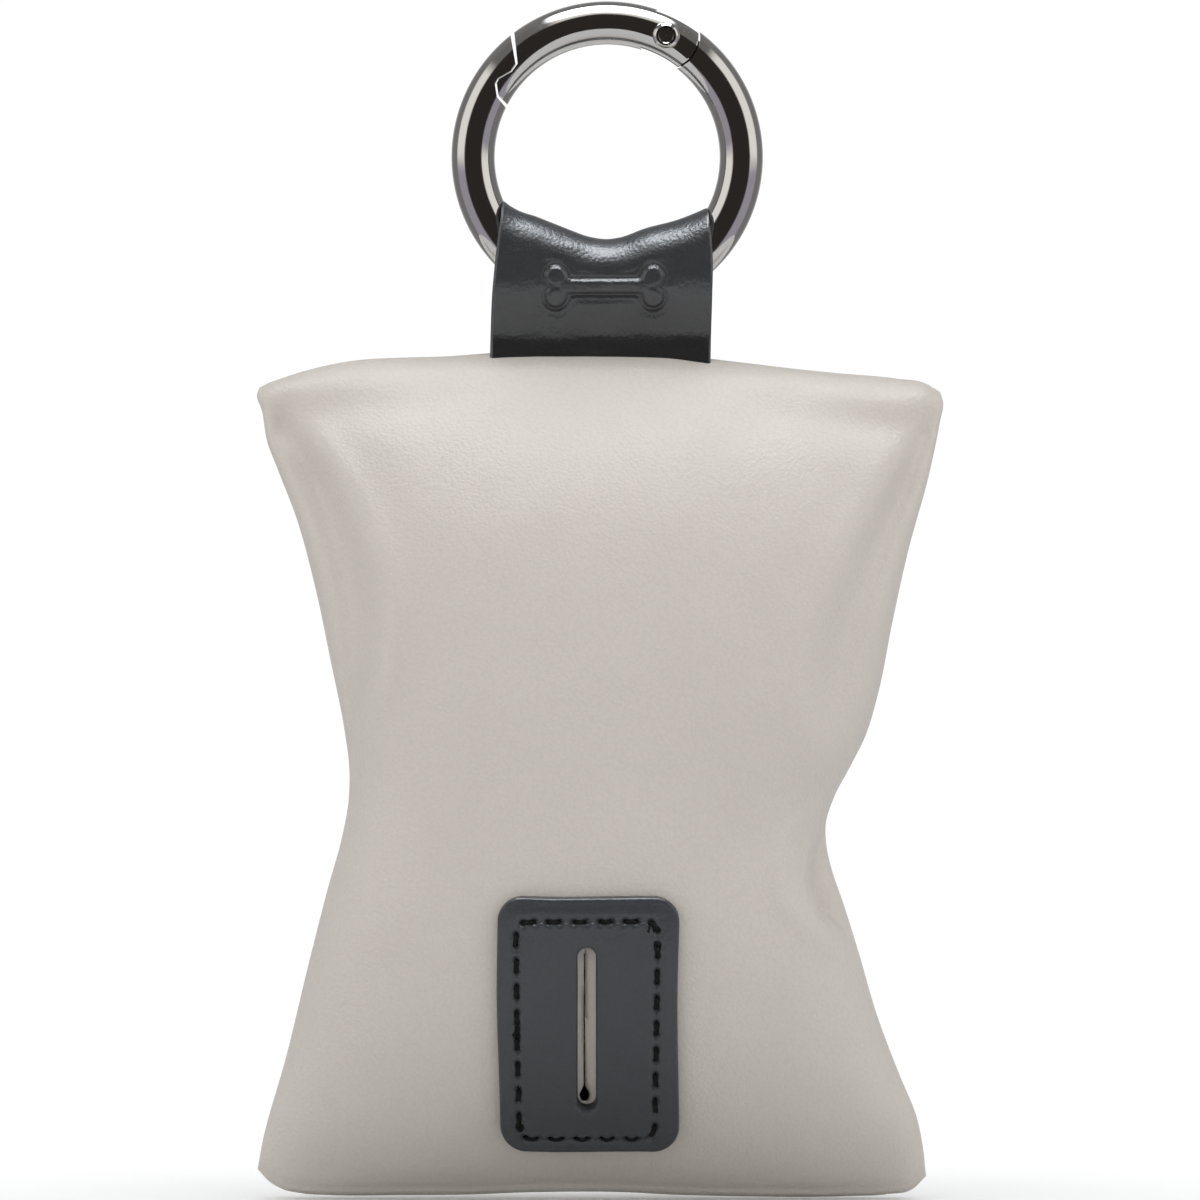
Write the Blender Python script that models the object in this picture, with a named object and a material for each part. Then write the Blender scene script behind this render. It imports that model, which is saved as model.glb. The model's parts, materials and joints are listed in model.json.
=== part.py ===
"""Waste-bag dispenser pouch with a spring-gate ring.

Dimensions are in millimetres and become metres when a mesh is made. The front faces -Y, +Z is up,
and the bottom seam stands at z = 0. Shapes are drawn about the seam plane and moved by SEAM_Y, so
that the whole object is centred on y = 0.
"""

import math

import bmesh
import bpy
from mathutils import Matrix, Vector

MM = 0.001
SEAM_Y = 1.7

# pouch
HEIGHT = 93.8
WAIST_Z = 45.0
FRONT_DEPTH = 19.5
BACK_DEPTH = 17.0
BACK_FLAT = 14.0
TOP_SEAM = 2.3
BOTTOM_SEAM = 1.5
SEAM_HEIGHT = 3.4
WALL = 1.2
LEFT_EDGE = [(0, -38.2), (10, -36.2), (28, -32.2), (40, -28.9), (46, -28.1), (52, -28.9), (74, -33.8),
             (86, -37.5), (94, -38.2)]
RIGHT_EDGE = [(0, 36.2), (10, 34.0), (28, 28.8), (36, 25.6), (40, 25.2), (46, 27.4), (54, 30.4),
              (74, 35.0), (86, 37.8), (94, 38.2)]

# ring, seen from the front: angles are counter-clockwise from +X
RING_X = 0.8
RING_Z = 115.4
RING_INNER_D = 25.0
WIRE_D = 4.8
WIRE_R = WIRE_D / 2
RING_R = RING_INNER_D / 2 + WIRE_R
PIVOT_DEG = 64.0
GATE_TAIL_R = 3.6
TONGUE_HALF = 0.8
FORK_HALF = 1.05
RIVET_R = 0.9
RIVET_HEAD_R = 1.45
RIVET_HEAD_T = 0.35
LATCH_GAP = 0.35
SPRING_BORE_R = 1.15
SPRING_BORE_L = 8.6

# strap
STRAP_LEFT = -12.4
STRAP_RIGHT = 12.6
PLY = 1.25
CREST_Z = 106.4
CREST_RISE = 3.4
FLEX_Z = 95.3
TAIL_BOTTOM_Z = 85.0
TAIL_TOP_Z = 93.7
TUNNEL_HALF = 2.9

# patch
PATCH_X = -1.4
PATCH_Z = 19.3
PATCH_W = 20.3
PATCH_H = 28.2
PATCH_T = 1.4
PATCH_CORNER_R = 3.0
SLOT_X = -1.5
SLOT_Z = 18.9
SLOT_W = 2.1
SLOT_H = 17.6
SLIT_W = 1.0
SLIT_H = 16.4
STITCH_SIDE = 2.4
STITCH_TOP = 3.0
STITCH_BOTTOM = 1.4
STITCH_PITCH = 2.8
THREAD_R = 0.28

# zip, in the flat back
ZIP_BOTTOM = 18.0
ZIP_TOP = 75.3
ZIP_HALF = 4.5
TAPE_T = 0.5
TAPE_OUT = 8.4
TAPE_IN = 0.7
ZIP_SEAM_X = 6.0
TAPE_Y = BACK_FLAT - WALL - 0.7
COIL_TOP_Y = BACK_FLAT - 0.2
SLIDER_Z = 70.1
SLIDER_HALF_H = 3.75
SLIDER_HALF_W = 3.4
PLATE_T = 0.9
PLATE_GAP = 0.35
PIN_R = 0.55
PULLER_L = 19.0

# bags
ROLL_R = 12.5
ROLL_Y = -2.4
ROLL_BOTTOM = 20.0
ROLL_TOP = 68.0
CORE_R = 5.0
CORE_WALL = 0.9

SHELL_AROUND = 32
CLEARANCE = 0.3


def clear_scene():
    for old in list(bpy.data.objects):
        bpy.data.objects.remove(old, do_unlink=True)


def material(name, colour, roughness, metallic=0.0):
    made = bpy.data.materials.new(name)
    made.use_nodes = True
    shader = made.node_tree.nodes["Principled BSDF"]
    shader.inputs["Base Color"].default_value = (*colour, 1.0)
    shader.inputs["Roughness"].default_value = roughness
    shader.inputs["Metallic"].default_value = metallic
    return made


def add_object(name, bm, mat=None, pivot=(0, 0, 0)):
    """Makes an object from a mesh drawn in millimetres, with its origin on pivot."""
    bmesh.ops.recalc_face_normals(bm, faces=bm.faces)
    origin = Vector(pivot)
    for v in bm.verts:
        v.co = (v.co - origin) * MM
    mesh = bpy.data.meshes.new(name)
    bm.to_mesh(mesh)
    bm.free()
    made = bpy.data.objects.new(name, mesh)
    made.location = (origin + Vector((0, SEAM_Y, 0))) * MM
    bpy.context.collection.objects.link(made)
    if mat:
        mesh.materials.append(mat)
    return made


def tool(name, bm):
    """A boolean's tool: kept in the file, but not a piece."""
    made = add_object(name, bm)
    made.hide_render = True
    made.display_type = "WIRE"
    return made


def combine(target, other, operation):
    boolean = target.modifiers.new(other.name, "BOOLEAN")
    boolean.operation = operation
    boolean.solver = "EXACT"
    boolean.object = other


def box(x, y, z):
    """A closed box between the two values given for each axis."""
    bm = bmesh.new()
    bmesh.ops.create_cube(bm, size=1)
    for v in bm.verts:
        v.co = Vector((x[v.co.x > 0], y[v.co.y > 0], z[v.co.z > 0]))
    return bm


def prism(outline, y):
    """A closed prism: an outline of (x, z) points, drawn through y."""
    bm = bmesh.new()
    near = [bm.verts.new((px, y[0], pz)) for px, pz in outline]
    far = [bm.verts.new((px, y[1], pz)) for px, pz in outline]
    bm.faces.new(near)
    bm.faces.new(reversed(far))
    for i in range(len(outline)):
        j = (i + 1) % len(outline)
        bm.faces.new((near[i], near[j], far[j], far[i]))
    return bm


def rod(radius, y, x, z, segments=24):
    """A closed cylinder along Y."""
    return prism([(x + radius * math.cos(a), z + radius * math.sin(a)) for a in turns(segments)], y)


def turns(count):
    return [2 * math.pi * i / count for i in range(count)]


def loft(rings, closed=False):
    """Joins rings of points, and caps the ends unless the loft closes on itself."""
    bm = bmesh.new()
    made = [[bm.verts.new(p) for p in ring] for ring in rings]
    pairs = list(zip(made, made[1:]))
    if closed:
        pairs.append((made[-1], made[0]))
    else:
        bm.faces.new(made[0])
        bm.faces.new(reversed(made[-1]))
    for low, high in pairs:
        for i in range(len(low)):
            j = (i + 1) % len(low)
            bm.faces.new((low[i], low[j], high[j], high[i]))
    return bm


def along(points, z):
    """The value of a smooth curve through (z, value) points."""
    z = min(max(z, points[0][0]), points[-1][0])
    i = max(k for k in range(len(points) - 1) if points[k][0] <= z)
    (z0, a), (z1, b) = points[i], points[i + 1]

    def slope(k):
        low, high = points[max(k - 1, 0)], points[min(k + 1, len(points) - 1)]
        return (high[1] - low[1]) / (high[0] - low[0])

    t = (z - z0) / (z1 - z0)
    bend_a, bend_b = slope(i) * (z1 - z0), slope(i + 1) * (z1 - z0)
    return ((2 * t**3 - 3 * t**2 + 1) * a + (t**3 - 2 * t**2 + t) * bend_a
            + (3 * t**2 - 2 * t**3) * b + (t**3 - t**2) * bend_b)


# ---- pouch ----


def lens(t, power=2.6):
    return max(0.0, 1 - abs(t) ** power) ** (1 / power)


def swell(z, power):
    """How far the pouch has opened between its flat seams: 0 at a seam, 1 at the waist."""
    half = WAIST_Z if z < WAIST_Z else HEIGHT - WAIST_Z
    return max(0.0, 1 - abs((z - WAIST_Z) / half) ** power)


def depths(t, z):
    """The shell's depth in front of the seam plane and behind it, t of the way across."""
    seam = BOTTOM_SEAM + (TOP_SEAM - BOTTOM_SEAM) * z / HEIGHT
    flat = seam * lens(t, 8)
    front = flat + (FRONT_DEPTH - seam) * swell(z, 3) * lens(t)
    back = flat + (BACK_DEPTH - seam) * swell(z, 4) * lens(t)
    return front, min(back, BACK_FLAT)


def edge_z(t, share):
    """The height of a point across the pouch, with the top edge sloping and both ends rounded."""
    corner = max(0.0, abs(t) - 0.9) / 0.1
    top = HEIGHT - 2.6 * abs(t) ** 2.2 - 0.9 * corner**2
    bottom = 2.6 * (max(0.0, abs(t) - 0.82) / 0.18) ** 2.2
    return bottom + share * (top - bottom)


def shell_loft(low, high, levels, around, inset):
    """A closed pouch shape between two heights, inset from the outside."""
    bm = bmesh.new()
    across = [-math.cos(math.pi * i / around) for i in range(around + 1)]
    rows = []
    for k in range(levels + 1):
        share = 0.5 - 0.5 * math.cos(math.pi * k / levels)
        z = low + (high - low) * share
        left, right = along(LEFT_EDGE, z) + inset, along(RIGHT_EDGE, z) - inset
        front, back = [], []
        for t in across:
            x = (left + right) / 2 + t * (right - left) / 2
            near, far = depths(t, z)
            height = edge_z(t, z / HEIGHT)
            end = abs(t) > 1 - 1e-9
            front.append(bm.verts.new((x, 0 if end else -max(near - inset, 0.3), height)))
            back.append(front[-1] if end else bm.verts.new((x, max(far - inset, 0.3), height)))
        rows.append((front, back))
    for (front_a, back_a), (front_b, back_b) in zip(rows, rows[1:]):
        for i in range(around):
            bm.faces.new((front_a[i], front_a[i + 1], front_b[i + 1], front_b[i]))
            bm.faces.new((back_a[i + 1], back_a[i], back_b[i], back_b[i + 1]))
    for front, back in (rows[0], rows[-1]):
        for i in range(around):
            bm.faces.new(dict.fromkeys((front[i], front[i + 1], back[i + 1], back[i])))
    return bm


def make_shell(leather):
    shell = add_object("pouch_shell", shell_loft(0, HEIGHT, 26, SHELL_AROUND, 0), leather)
    tools = {
        "cavity": shell_loft(SEAM_HEIGHT, HEIGHT - SEAM_HEIGHT, 18, 24, WALL),
        "zip_opening": box((-ZIP_HALF, ZIP_HALF), (9, 20), (ZIP_BOTTOM, ZIP_TOP)),
        "zip_recess": box((-7.3, 7.3), (BACK_FLAT - 0.6, 20), (11, 82)),
        "slit": box((SLOT_X - SLIT_W / 2, SLOT_X + SLIT_W / 2), (-24, -6),
                    (SLOT_Z - SLIT_H / 2, SLOT_Z + SLIT_H / 2)),
        "strap_pocket": box((STRAP_LEFT - CLEARANCE, STRAP_RIGHT + CLEARANCE),
                            (-PLY - 0.15, PLY + 0.15), (88, 99)),
    }
    for name, bm in tools.items():
        combine(shell, tool("cut_" + name, bm), "DIFFERENCE")


# ---- patch ----


def front_point(x, z, lift):
    """A point standing lift clear of the pouch's front."""
    left, right = along(LEFT_EDGE, z), along(RIGHT_EDGE, z)

    def depth(px, pz):
        return -depths((2 * px - left - right) / (right - left), pz)[0]

    step = 0.5
    across = Vector((2 * step, depth(x + step, z) - depth(x - step, z), 0))
    up = Vector((0, depth(x, z + step) - depth(x, z - step), 2 * step))
    normal = across.cross(up).normalized()
    return Vector((x, depth(x, z), z)) + normal * lift


def round_box(cx, cz, width, height, radius, segments=6):
    """The outline of a rectangle with round corners."""
    points = []
    for sx, sz, start in ((1, 1, 0), (-1, 1, 90), (-1, -1, 180), (1, -1, 270)):
        for i in range(segments + 1):
            a = math.radians(start + 90 * i / segments)
            points.append((cx + sx * (width / 2 - radius) + radius * math.cos(a),
                           cz + sz * (height / 2 - radius) + radius * math.sin(a)))
    return points


def make_patch(leather, thread):
    bm = bmesh.new()
    edges = []
    slot = round_box(SLOT_X, SLOT_Z, SLOT_W, SLOT_H, SLOT_W / 2 - 0.01)
    for outline in (round_box(PATCH_X, PATCH_Z, PATCH_W, PATCH_H, PATCH_CORNER_R), slot):
        loop = [bm.verts.new((x, 0, z)) for x, z in outline]
        edges += [bm.edges.new((loop[i], loop[(i + 1) % len(loop)])) for i in range(len(loop))]
    bmesh.ops.triangle_fill(bm, edges=edges, use_beauty=True, use_dissolve=False, normal=(0, -1, 0))
    for i in range(1, 10):
        for point, axis in (((PATCH_X + PATCH_W * (i / 10 - 0.5), 0, 0), (1, 0, 0)),
                            ((0, 0, PATCH_Z + PATCH_H * (i / 10 - 0.5)), (0, 0, 1))):
            everything = bm.verts[:] + bm.edges[:] + bm.faces[:]
            bmesh.ops.bisect_plane(bm, geom=everything, plane_co=point, plane_no=axis, dist=0.02)
    top = bmesh.ops.extrude_face_region(bm, geom=bm.faces[:])["geom"]
    raised = {v for v in top if isinstance(v, bmesh.types.BMVert)}
    for v in bm.verts:
        v.co = front_point(v.co.x, v.co.z, CLEARANCE / 2 + (PATCH_T if v in raised else 0))
    add_object("slot_patch", bm, leather)
    make_patch_thread(thread)


def make_patch_thread(thread):
    top = PATCH_Z + PATCH_H / 2 - STITCH_TOP
    bottom = PATCH_Z - PATCH_H / 2 + STITCH_BOTTOM
    outline = round_box(PATCH_X, (top + bottom) / 2, PATCH_W - 2 * STITCH_SIDE, top - bottom, 1.5, 3)
    path = []
    for (x0, z0), (x1, z1) in zip(outline, outline[1:] + outline[:1]):
        steps = max(1, round(math.dist((x0, z0), (x1, z1)) / STITCH_PITCH))
        path += [(x0 + (x1 - x0) * i / steps, z0 + (z1 - z0) * i / steps) for i in range(steps)]
    lift = CLEARANCE / 2 + PATCH_T + THREAD_R + 0.05
    points = [front_point(x, z, lift) for x, z in path]
    outward = [(front_point(x, z, lift + 1) - front_point(x, z, lift)) for x, z in path]
    rings = []
    for i, point in enumerate(points):
        run = (points[(i + 1) % len(points)] - points[i - 1]).normalized()
        side = run.cross(outward[i]).normalized()
        rings.append([point + THREAD_R * (math.cos(a) * side + math.sin(a) * outward[i]) for a in turns(6)])
    add_object("patch_thread", loft(rings, closed=True), thread)


# ---- strap ----


def crest(x):
    middle = (STRAP_LEFT + STRAP_RIGHT) / 2
    return CREST_Z + CREST_RISE * abs((x - middle) / (STRAP_RIGHT - middle)) ** 1.5


def strap_section(x, inset, bottom):
    """The strap's loop seen from the side: narrow where it is sewn, round at its crest."""
    top = crest(x) - inset
    half = TUNNEL_HALF + PLY - inset
    foot = max(PLY - inset, 0.15)
    right = [(foot, bottom), (foot, bottom + 0.9), (foot + 0.45 * (half - foot), 98.6), (half, 101.2)]
    arch = 4.2 - inset
    right += [(half * math.cos(a), top - arch + arch * math.sin(a))
              for a in (math.pi / 2 * k / 6 for k in range(6))]
    left = [(-y, z) for y, z in reversed(right)]
    return [Vector((x, y, z)) for y, z in right + [(0, top)] + left]


def make_strap(leather):
    tail = box((STRAP_LEFT, STRAP_RIGHT), (-PLY + 0.05, PLY - 0.05), (TAIL_BOTTOM_Z, TAIL_TOP_Z))
    add_object("strap_tail", tail, leather)
    stations = [STRAP_LEFT + (STRAP_RIGHT - STRAP_LEFT) * i / 14 for i in range(15)]
    outside = loft([strap_section(x, 0, FLEX_Z) for x in stations])
    strap = add_object("strap_loop", outside, leather, (0, 0, FLEX_Z))
    wide = [STRAP_LEFT - 2, *stations[1:-1], STRAP_RIGHT + 2]
    tunnel = loft([strap_section(x, PLY, FLEX_Z + 1.4) for x in wide])
    combine(strap, tool("cut_tunnel", tunnel), "DIFFERENCE")
    combine(strap, tool("cut_wire_path", wire(0, 360, WIRE_R + 0.5, 72, 20)), "DIFFERENCE")


# ---- ring ----


def ring_point(radius, degrees, y=0.0):
    a = math.radians(degrees)
    return Vector((RING_X + radius * math.cos(a), y, RING_Z + radius * math.sin(a)))


def wire(start, end, radius, segments, around):
    """Round wire bent on the ring's circle, closed on itself if it makes a full turn."""
    full = abs(end - start) >= 360
    rings = []
    for i in range(segments if full else segments + 1):
        degrees = start + (end - start) * i / segments
        rings.append([ring_point(RING_R + radius * math.cos(b), degrees, radius * math.sin(b))
                      for b in turns(around)])
    return loft(rings, closed=full)


def flat(point):
    return point.x, point.z


def arc(radius, start, end, count):
    return [flat(ring_point(radius, start + (end - start) * i / count)) for i in range(count + 1)]


def about_pivot(radius, start, end, count=8):
    centre = ring_point(RING_R, PIVOT_DEG)
    steps = [math.radians(start + (end - start) * i / count) for i in range(count + 1)]
    return [(centre.x + radius * math.cos(a), centre.z + radius * math.sin(a)) for a in steps]


def latch_line(gap, outside, inside):
    """The hooked line between the gate's nose and the ring, from outside to inside; gap opens it."""
    corners = [(outside, 124.5 + 5.5 * gap), (RING_R - 0.6 + gap, 134.0 + 3 * gap),
               (RING_R - 0.75 + gap, 138.5), (RING_R - 0.15 + gap, 144.5),
               (RING_R - 0.2 + gap, 146.5 + 2 * gap), (RING_R - 1.0, 150.3 + 7 * gap),
               (inside, 154.5 + 14 * gap)]
    return [flat(ring_point(r, a)) for r, a in corners]


def gate_outline(gap):
    """The gate seen from the front, larger by gap all round, for the gate itself or for its room."""
    reach = GATE_TAIL_R + gap
    outside, inside = RING_R + reach, RING_R - reach
    tail = about_pivot(reach, PIVOT_DEG - 180, PIVOT_DEG, 16)[1:-1]
    return (latch_line(gap, outside, inside) + arc(inside, 150, PIVOT_DEG, 10) + tail
            + arc(outside, PIVOT_DEG, 122, 8))


def make_ring(metal):
    pivot = ring_point(RING_R, PIVOT_DEG)
    body = add_object("ring_body", wire(0, 360, WIRE_R, 84, 20), metal, (RING_X, 0, RING_Z))
    combine(body, tool("cut_gate_room", prism(gate_outline(LATCH_GAP), (-4, 4))), "DIFFERENCE")
    tongue = prism(about_pivot(2.0, PIVOT_DEG - 20, PIVOT_DEG + 200, 12)
                   + [flat(ring_point(RING_R + side * 1.6, PIVOT_DEG - 22)) for side in (-1, 1)],
                   (-TONGUE_HALF, TONGUE_HALF))
    combine(body, tool("add_tongue", tongue), "UNION")
    pin_hole = rod(RIVET_R + 0.1, (-4, 4), pivot.x, pivot.z, 20)
    hole = tool("cut_pin_hole", pin_hole)
    combine(body, hole, "DIFFERENCE")
    combine(body, tool("cut_spring_bore", spring_bore()), "DIFFERENCE")

    gate = add_object("ring_gate", wire(PIVOT_DEG - 30, 166, WIRE_R, 36, 20), metal, pivot)
    combine(gate, tool("keep_gate", prism(gate_outline(0), (-4, 4))), "INTERSECT")
    fork = prism(about_pivot(3.1, PIVOT_DEG + 10, PIVOT_DEG + 170, 12)
                 + about_pivot(9, PIVOT_DEG + 180, PIVOT_DEG + 360, 8), (-FORK_HALF, FORK_HALF))
    combine(gate, tool("cut_fork", fork), "DIFFERENCE")
    combine(gate, hole, "DIFFERENCE")
    make_rivet(metal, pivot)
    make_spring(metal)


def make_rivet(metal, pivot):
    """A pin with a low domed head at each end, turned about its own length."""
    reach = WIRE_R + 0.06
    half = [(RIVET_R, 0), (RIVET_R, reach), (RIVET_HEAD_R, reach), (RIVET_HEAD_R, reach + 0.15),
            (RIVET_HEAD_R - 0.3, reach + RIVET_HEAD_T), (0.8, reach + RIVET_HEAD_T), (0.6, reach + 0.2)]
    profile = [(r, -y) for r, y in reversed(half[1:])] + half[1:]
    rings = [[Vector((pivot.x + r * math.cos(a), y, pivot.z + r * math.sin(a))) for a in turns(24)]
             for r, y in profile]
    add_object("gate_rivet", loft(rings), metal, pivot)


def spring_axis():
    """Where the spring's bore starts, which way it runs, and the way across it in the ring's plane."""
    start = ring_point(RING_R, PIVOT_DEG - 14)
    run = (ring_point(RING_R, PIVOT_DEG - 48) - start).normalized()
    return start, run, run.cross(Vector((0, 1, 0)))


def spring_bore():
    start, run, across = spring_axis()
    ends = [start, start + SPRING_BORE_L * run]
    up = Vector((0, 1, 0))
    return loft([[p + SPRING_BORE_R * (math.cos(a) * across + math.sin(a) * up) for a in turns(16)]
                 for p in ends])


def make_spring(metal):
    start, run, across = spring_axis()
    up = Vector((0, 1, 0))
    coil_r, wire_r, coils, steps = 0.75, 0.18, 7, 12
    rings = []
    for i in range(coils * steps + 1):
        a = 2 * math.pi * i / steps
        out = math.cos(a) * across + math.sin(a) * up
        centre = start + (1.6 + 6.4 * i / (coils * steps)) * run + coil_r * out
        rings.append([centre + wire_r * (math.cos(b) * out + math.sin(b) * run) for b in turns(6)])
    add_object("gate_spring", loft(rings), metal)


# ---- zip ----


def comb(side, low, high):
    """One half of the coil seen from behind: a rail with teeth that reach between the other half's."""
    pitch, tooth = 2.0, 0.8
    points = [(side * 2.3, low), (side * 1.5, low)]
    z = low + (0.3 if side > 0 else 1.3)
    while z + tooth < high:
        points += [(side * 1.5, z), (side * -0.5, z + 0.1),
                   (side * -0.5, z + tooth - 0.1), (side * 1.5, z + tooth)]
        z += pitch
    return points + [(side * 1.5, high), (side * 2.3, high)]


def make_zip(tape, coil, metal, thread):
    for side, name in ((-1, "left"), (1, "right")):
        x = sorted((side * TAPE_IN, side * TAPE_OUT))
        add_object("zip_tape_" + name, box(x, (TAPE_Y - TAPE_T, TAPE_Y), (ZIP_BOTTOM - 1, ZIP_TOP + 1)), tape)
        teeth = prism(comb(side, ZIP_BOTTOM + 2.4, SLIDER_Z - 0.4), (TAPE_Y + 0.1, COIL_TOP_Y))
        add_object("zip_coil_" + name, teeth, coil)
        x = sorted((side * 1.0, side * 2.6))
        stop = box(x, (TAPE_Y + 0.1, COIL_TOP_Y), (ZIP_TOP - 1.2, ZIP_TOP - 0.2))
        add_object("zip_top_stop_" + name, stop, metal)
        seam_x = side * ZIP_SEAM_X
        line = rod(THREAD_R, (ZIP_BOTTOM - 1, ZIP_TOP + 1), seam_x, 0, 8)
        bmesh.ops.rotate(line, verts=line.verts, matrix=Matrix.Rotation(math.pi / 2, 3, "X"))
        bmesh.ops.translate(line, verts=line.verts, vec=(0, BACK_FLAT - 0.25, 0))
        add_object("zip_thread_" + name, line, thread)
    stop = box((-2.4, 2.4), (TAPE_Y + 0.1, COIL_TOP_Y), (ZIP_BOTTOM + 0.6, ZIP_BOTTOM + 2.0))
    add_object("zip_bottom_stop", stop, metal)
    make_slider(metal)


def slider_plate(y):
    """A slider plate: shouldered at the top, narrower where the closed teeth leave it."""
    w, h = SLIDER_HALF_W, SLIDER_HALF_H
    half = [(0.7 * w, -h), (0.75 * w, -0.4 * h), (w, 0.1 * h), (w, 0.7 * h), (0.6 * w, h)]
    outline = half + [(-x, z) for x, z in reversed(half)]
    return prism([(x, SLIDER_Z + z) for x, z in outline], y)


def make_slider(metal):
    upper = COIL_TOP_Y + PLATE_GAP
    lower = TAPE_Y - TAPE_T - PLATE_GAP
    pin = Vector((0, upper + PLATE_T + 0.85, SLIDER_Z + 1.4))
    slider = add_object("zip_slider", slider_plate((upper, upper + PLATE_T)), metal)
    arch_top = pin.y + PIN_R + 0.3
    pieces = {
        "lower_plate": slider_plate((lower - PLATE_T, lower)),
        "wedge": box((-0.45, 0.45), (lower - 0.2, upper + 0.2), (SLIDER_Z + 0.9, SLIDER_Z + 2.6)),
        "arch_low": box((-0.8, 0.8), (upper + 0.2, arch_top + 0.8), (pin.z - 2.1, pin.z - 1.2)),
        "arch_high": box((-0.8, 0.8), (upper + 0.2, arch_top + 0.8), (pin.z + 1.2, pin.z + 2.1)),
        "arch_bar": box((-0.8, 0.8), (arch_top, arch_top + 0.8), (pin.z - 1.6, pin.z + 1.6)),
    }
    for name, bm in pieces.items():
        combine(slider, tool("add_" + name, bm), "UNION")
    half = 0.5
    outline = round_box(0, pin.z + 0.5 - PULLER_L / 2, 5.2, PULLER_L, 1.2, 4)
    puller = add_object("zip_puller", prism(outline, (pin.y - half, pin.y + half)), metal, pin)
    window = box((-1.3, 1.3), (pin.y - 2, pin.y + 2), (pin.z - 2.8, pin.z - PIN_R))
    combine(puller, tool("cut_window", window), "DIFFERENCE")


# ---- bags ----


def make_roll(film, card):
    tubes = (("bag_roll", ROLL_R, CORE_R + 0.2, film), ("roll_core", CORE_R, CORE_R - CORE_WALL, card))
    for name, outer, inner, mat in tubes:
        profile = [(outer, ROLL_BOTTOM), (outer, ROLL_TOP), (inner, ROLL_TOP), (inner, ROLL_BOTTOM)]
        rings = [[Vector((r * math.cos(a), ROLL_Y + r * math.sin(a), z)) for r, z in profile]
                 for a in turns(40)]
        add_object(name, loft(rings, closed=True), mat, (0, ROLL_Y, ROLL_BOTTOM))


def main():
    clear_scene()
    shell_leather = material("greige_leather", (0.57, 0.53, 0.47), 0.5)
    dark_leather = material("black_leather", (0.05, 0.053, 0.06), 0.45)
    ring_metal = material("gunmetal", (0.2, 0.2, 0.21), 0.12, 1.0)
    zip_metal = material("zip_metal", (0.25, 0.25, 0.26), 0.25, 1.0)
    thread = material("black_thread", (0.02, 0.02, 0.022), 0.8)
    tape = material("zip_tape", (0.03, 0.03, 0.033), 0.9)
    coil = material("zip_nylon", (0.035, 0.035, 0.04), 0.4)
    film = material("bag_film", (0.02, 0.02, 0.022), 0.35)
    card = material("roll_card", (0.45, 0.33, 0.2), 0.9)
    make_shell(shell_leather)
    make_patch(dark_leather, thread)
    make_strap(dark_leather)
    make_ring(ring_metal)
    make_zip(tape, coil, zip_metal, thread)
    make_roll(film, card)


main()
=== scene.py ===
"""Looks for the waste-bag dispenser pouch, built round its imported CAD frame.

Shapes are drawn in millimetres about the pouch's seam plane (y = 0, front towards -Y), and put() moves
them into the frame's metres. Joints, and the pieces that have to meet them, are placed from the frame.
"""

import json
import math

import bmesh
import bpy
import numpy as np
from mathutils import Matrix, Vector, noise


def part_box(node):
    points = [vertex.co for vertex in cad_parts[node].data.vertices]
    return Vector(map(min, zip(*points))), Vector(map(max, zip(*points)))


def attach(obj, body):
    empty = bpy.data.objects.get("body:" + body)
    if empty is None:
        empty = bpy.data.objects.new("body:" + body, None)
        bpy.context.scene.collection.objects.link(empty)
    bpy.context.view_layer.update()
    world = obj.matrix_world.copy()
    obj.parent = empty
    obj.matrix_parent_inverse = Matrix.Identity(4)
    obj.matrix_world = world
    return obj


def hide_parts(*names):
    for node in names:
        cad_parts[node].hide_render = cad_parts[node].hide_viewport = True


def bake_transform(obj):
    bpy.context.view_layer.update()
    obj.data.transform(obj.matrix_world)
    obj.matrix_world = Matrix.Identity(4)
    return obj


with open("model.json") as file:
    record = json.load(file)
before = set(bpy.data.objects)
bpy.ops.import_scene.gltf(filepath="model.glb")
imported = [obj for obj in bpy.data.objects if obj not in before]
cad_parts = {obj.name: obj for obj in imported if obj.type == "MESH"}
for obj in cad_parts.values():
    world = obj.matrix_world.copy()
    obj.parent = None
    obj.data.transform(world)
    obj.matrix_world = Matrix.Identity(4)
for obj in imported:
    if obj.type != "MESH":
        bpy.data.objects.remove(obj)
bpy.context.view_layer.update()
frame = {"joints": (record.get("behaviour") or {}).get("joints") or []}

MM = 0.001
JOINTS = {j["name"]: j for j in frame["joints"]}
SEAM_Y = JOINTS["strap_flex"]["pos_m"][1] / MM


def cad_box(node):
    """A CAD node's lowest and highest corners, in millimetres about the seam plane."""
    low, high = (np.array(corner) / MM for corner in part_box(node))
    return low - (0, SEAM_Y, 0), high - (0, SEAM_Y, 0)


def joint_point(name):
    return np.array(JOINTS[name]["pos_m"]) / MM - (0, SEAM_Y, 0)


# ---- meshes ----


def put(points):
    """Millimetres about the seam plane to the frame's metres."""
    return (np.asarray(points, float).reshape(-1, 3) + (0, SEAM_Y, 0)) * MM


def make(name, points, faces, mats, body=None, smooth=True):
    mesh = bpy.data.meshes.new(name)
    mesh.from_pydata([tuple(p) for p in put(points)], [], [tuple(f) for f in faces])
    mesh.validate()
    return finish_piece(name, mesh, mats, body, smooth)


def finish_piece(name, mesh, mats, body=None, smooth=True):
    for mat in mats if isinstance(mats, (list, tuple)) else [mats]:
        mesh.materials.append(mat)
    if smooth:
        mesh.polygons.foreach_set("use_smooth", [True] * len(mesh.polygons))
    made = bpy.data.objects.new(name, mesh)
    bpy.context.collection.objects.link(made)
    if body:
        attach(made, body)
    return made


def grid_faces(rows, columns, wrap=False):
    """Quads between rows of points; wrap joins the last column to the first."""
    faces = []
    for r in range(rows - 1):
        for c in range(columns if wrap else columns - 1):
            d = (c + 1) % columns
            a, b = r * columns, (r + 1) * columns
            faces.append((a + c, a + d, b + d, b + c))
    return faces


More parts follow.
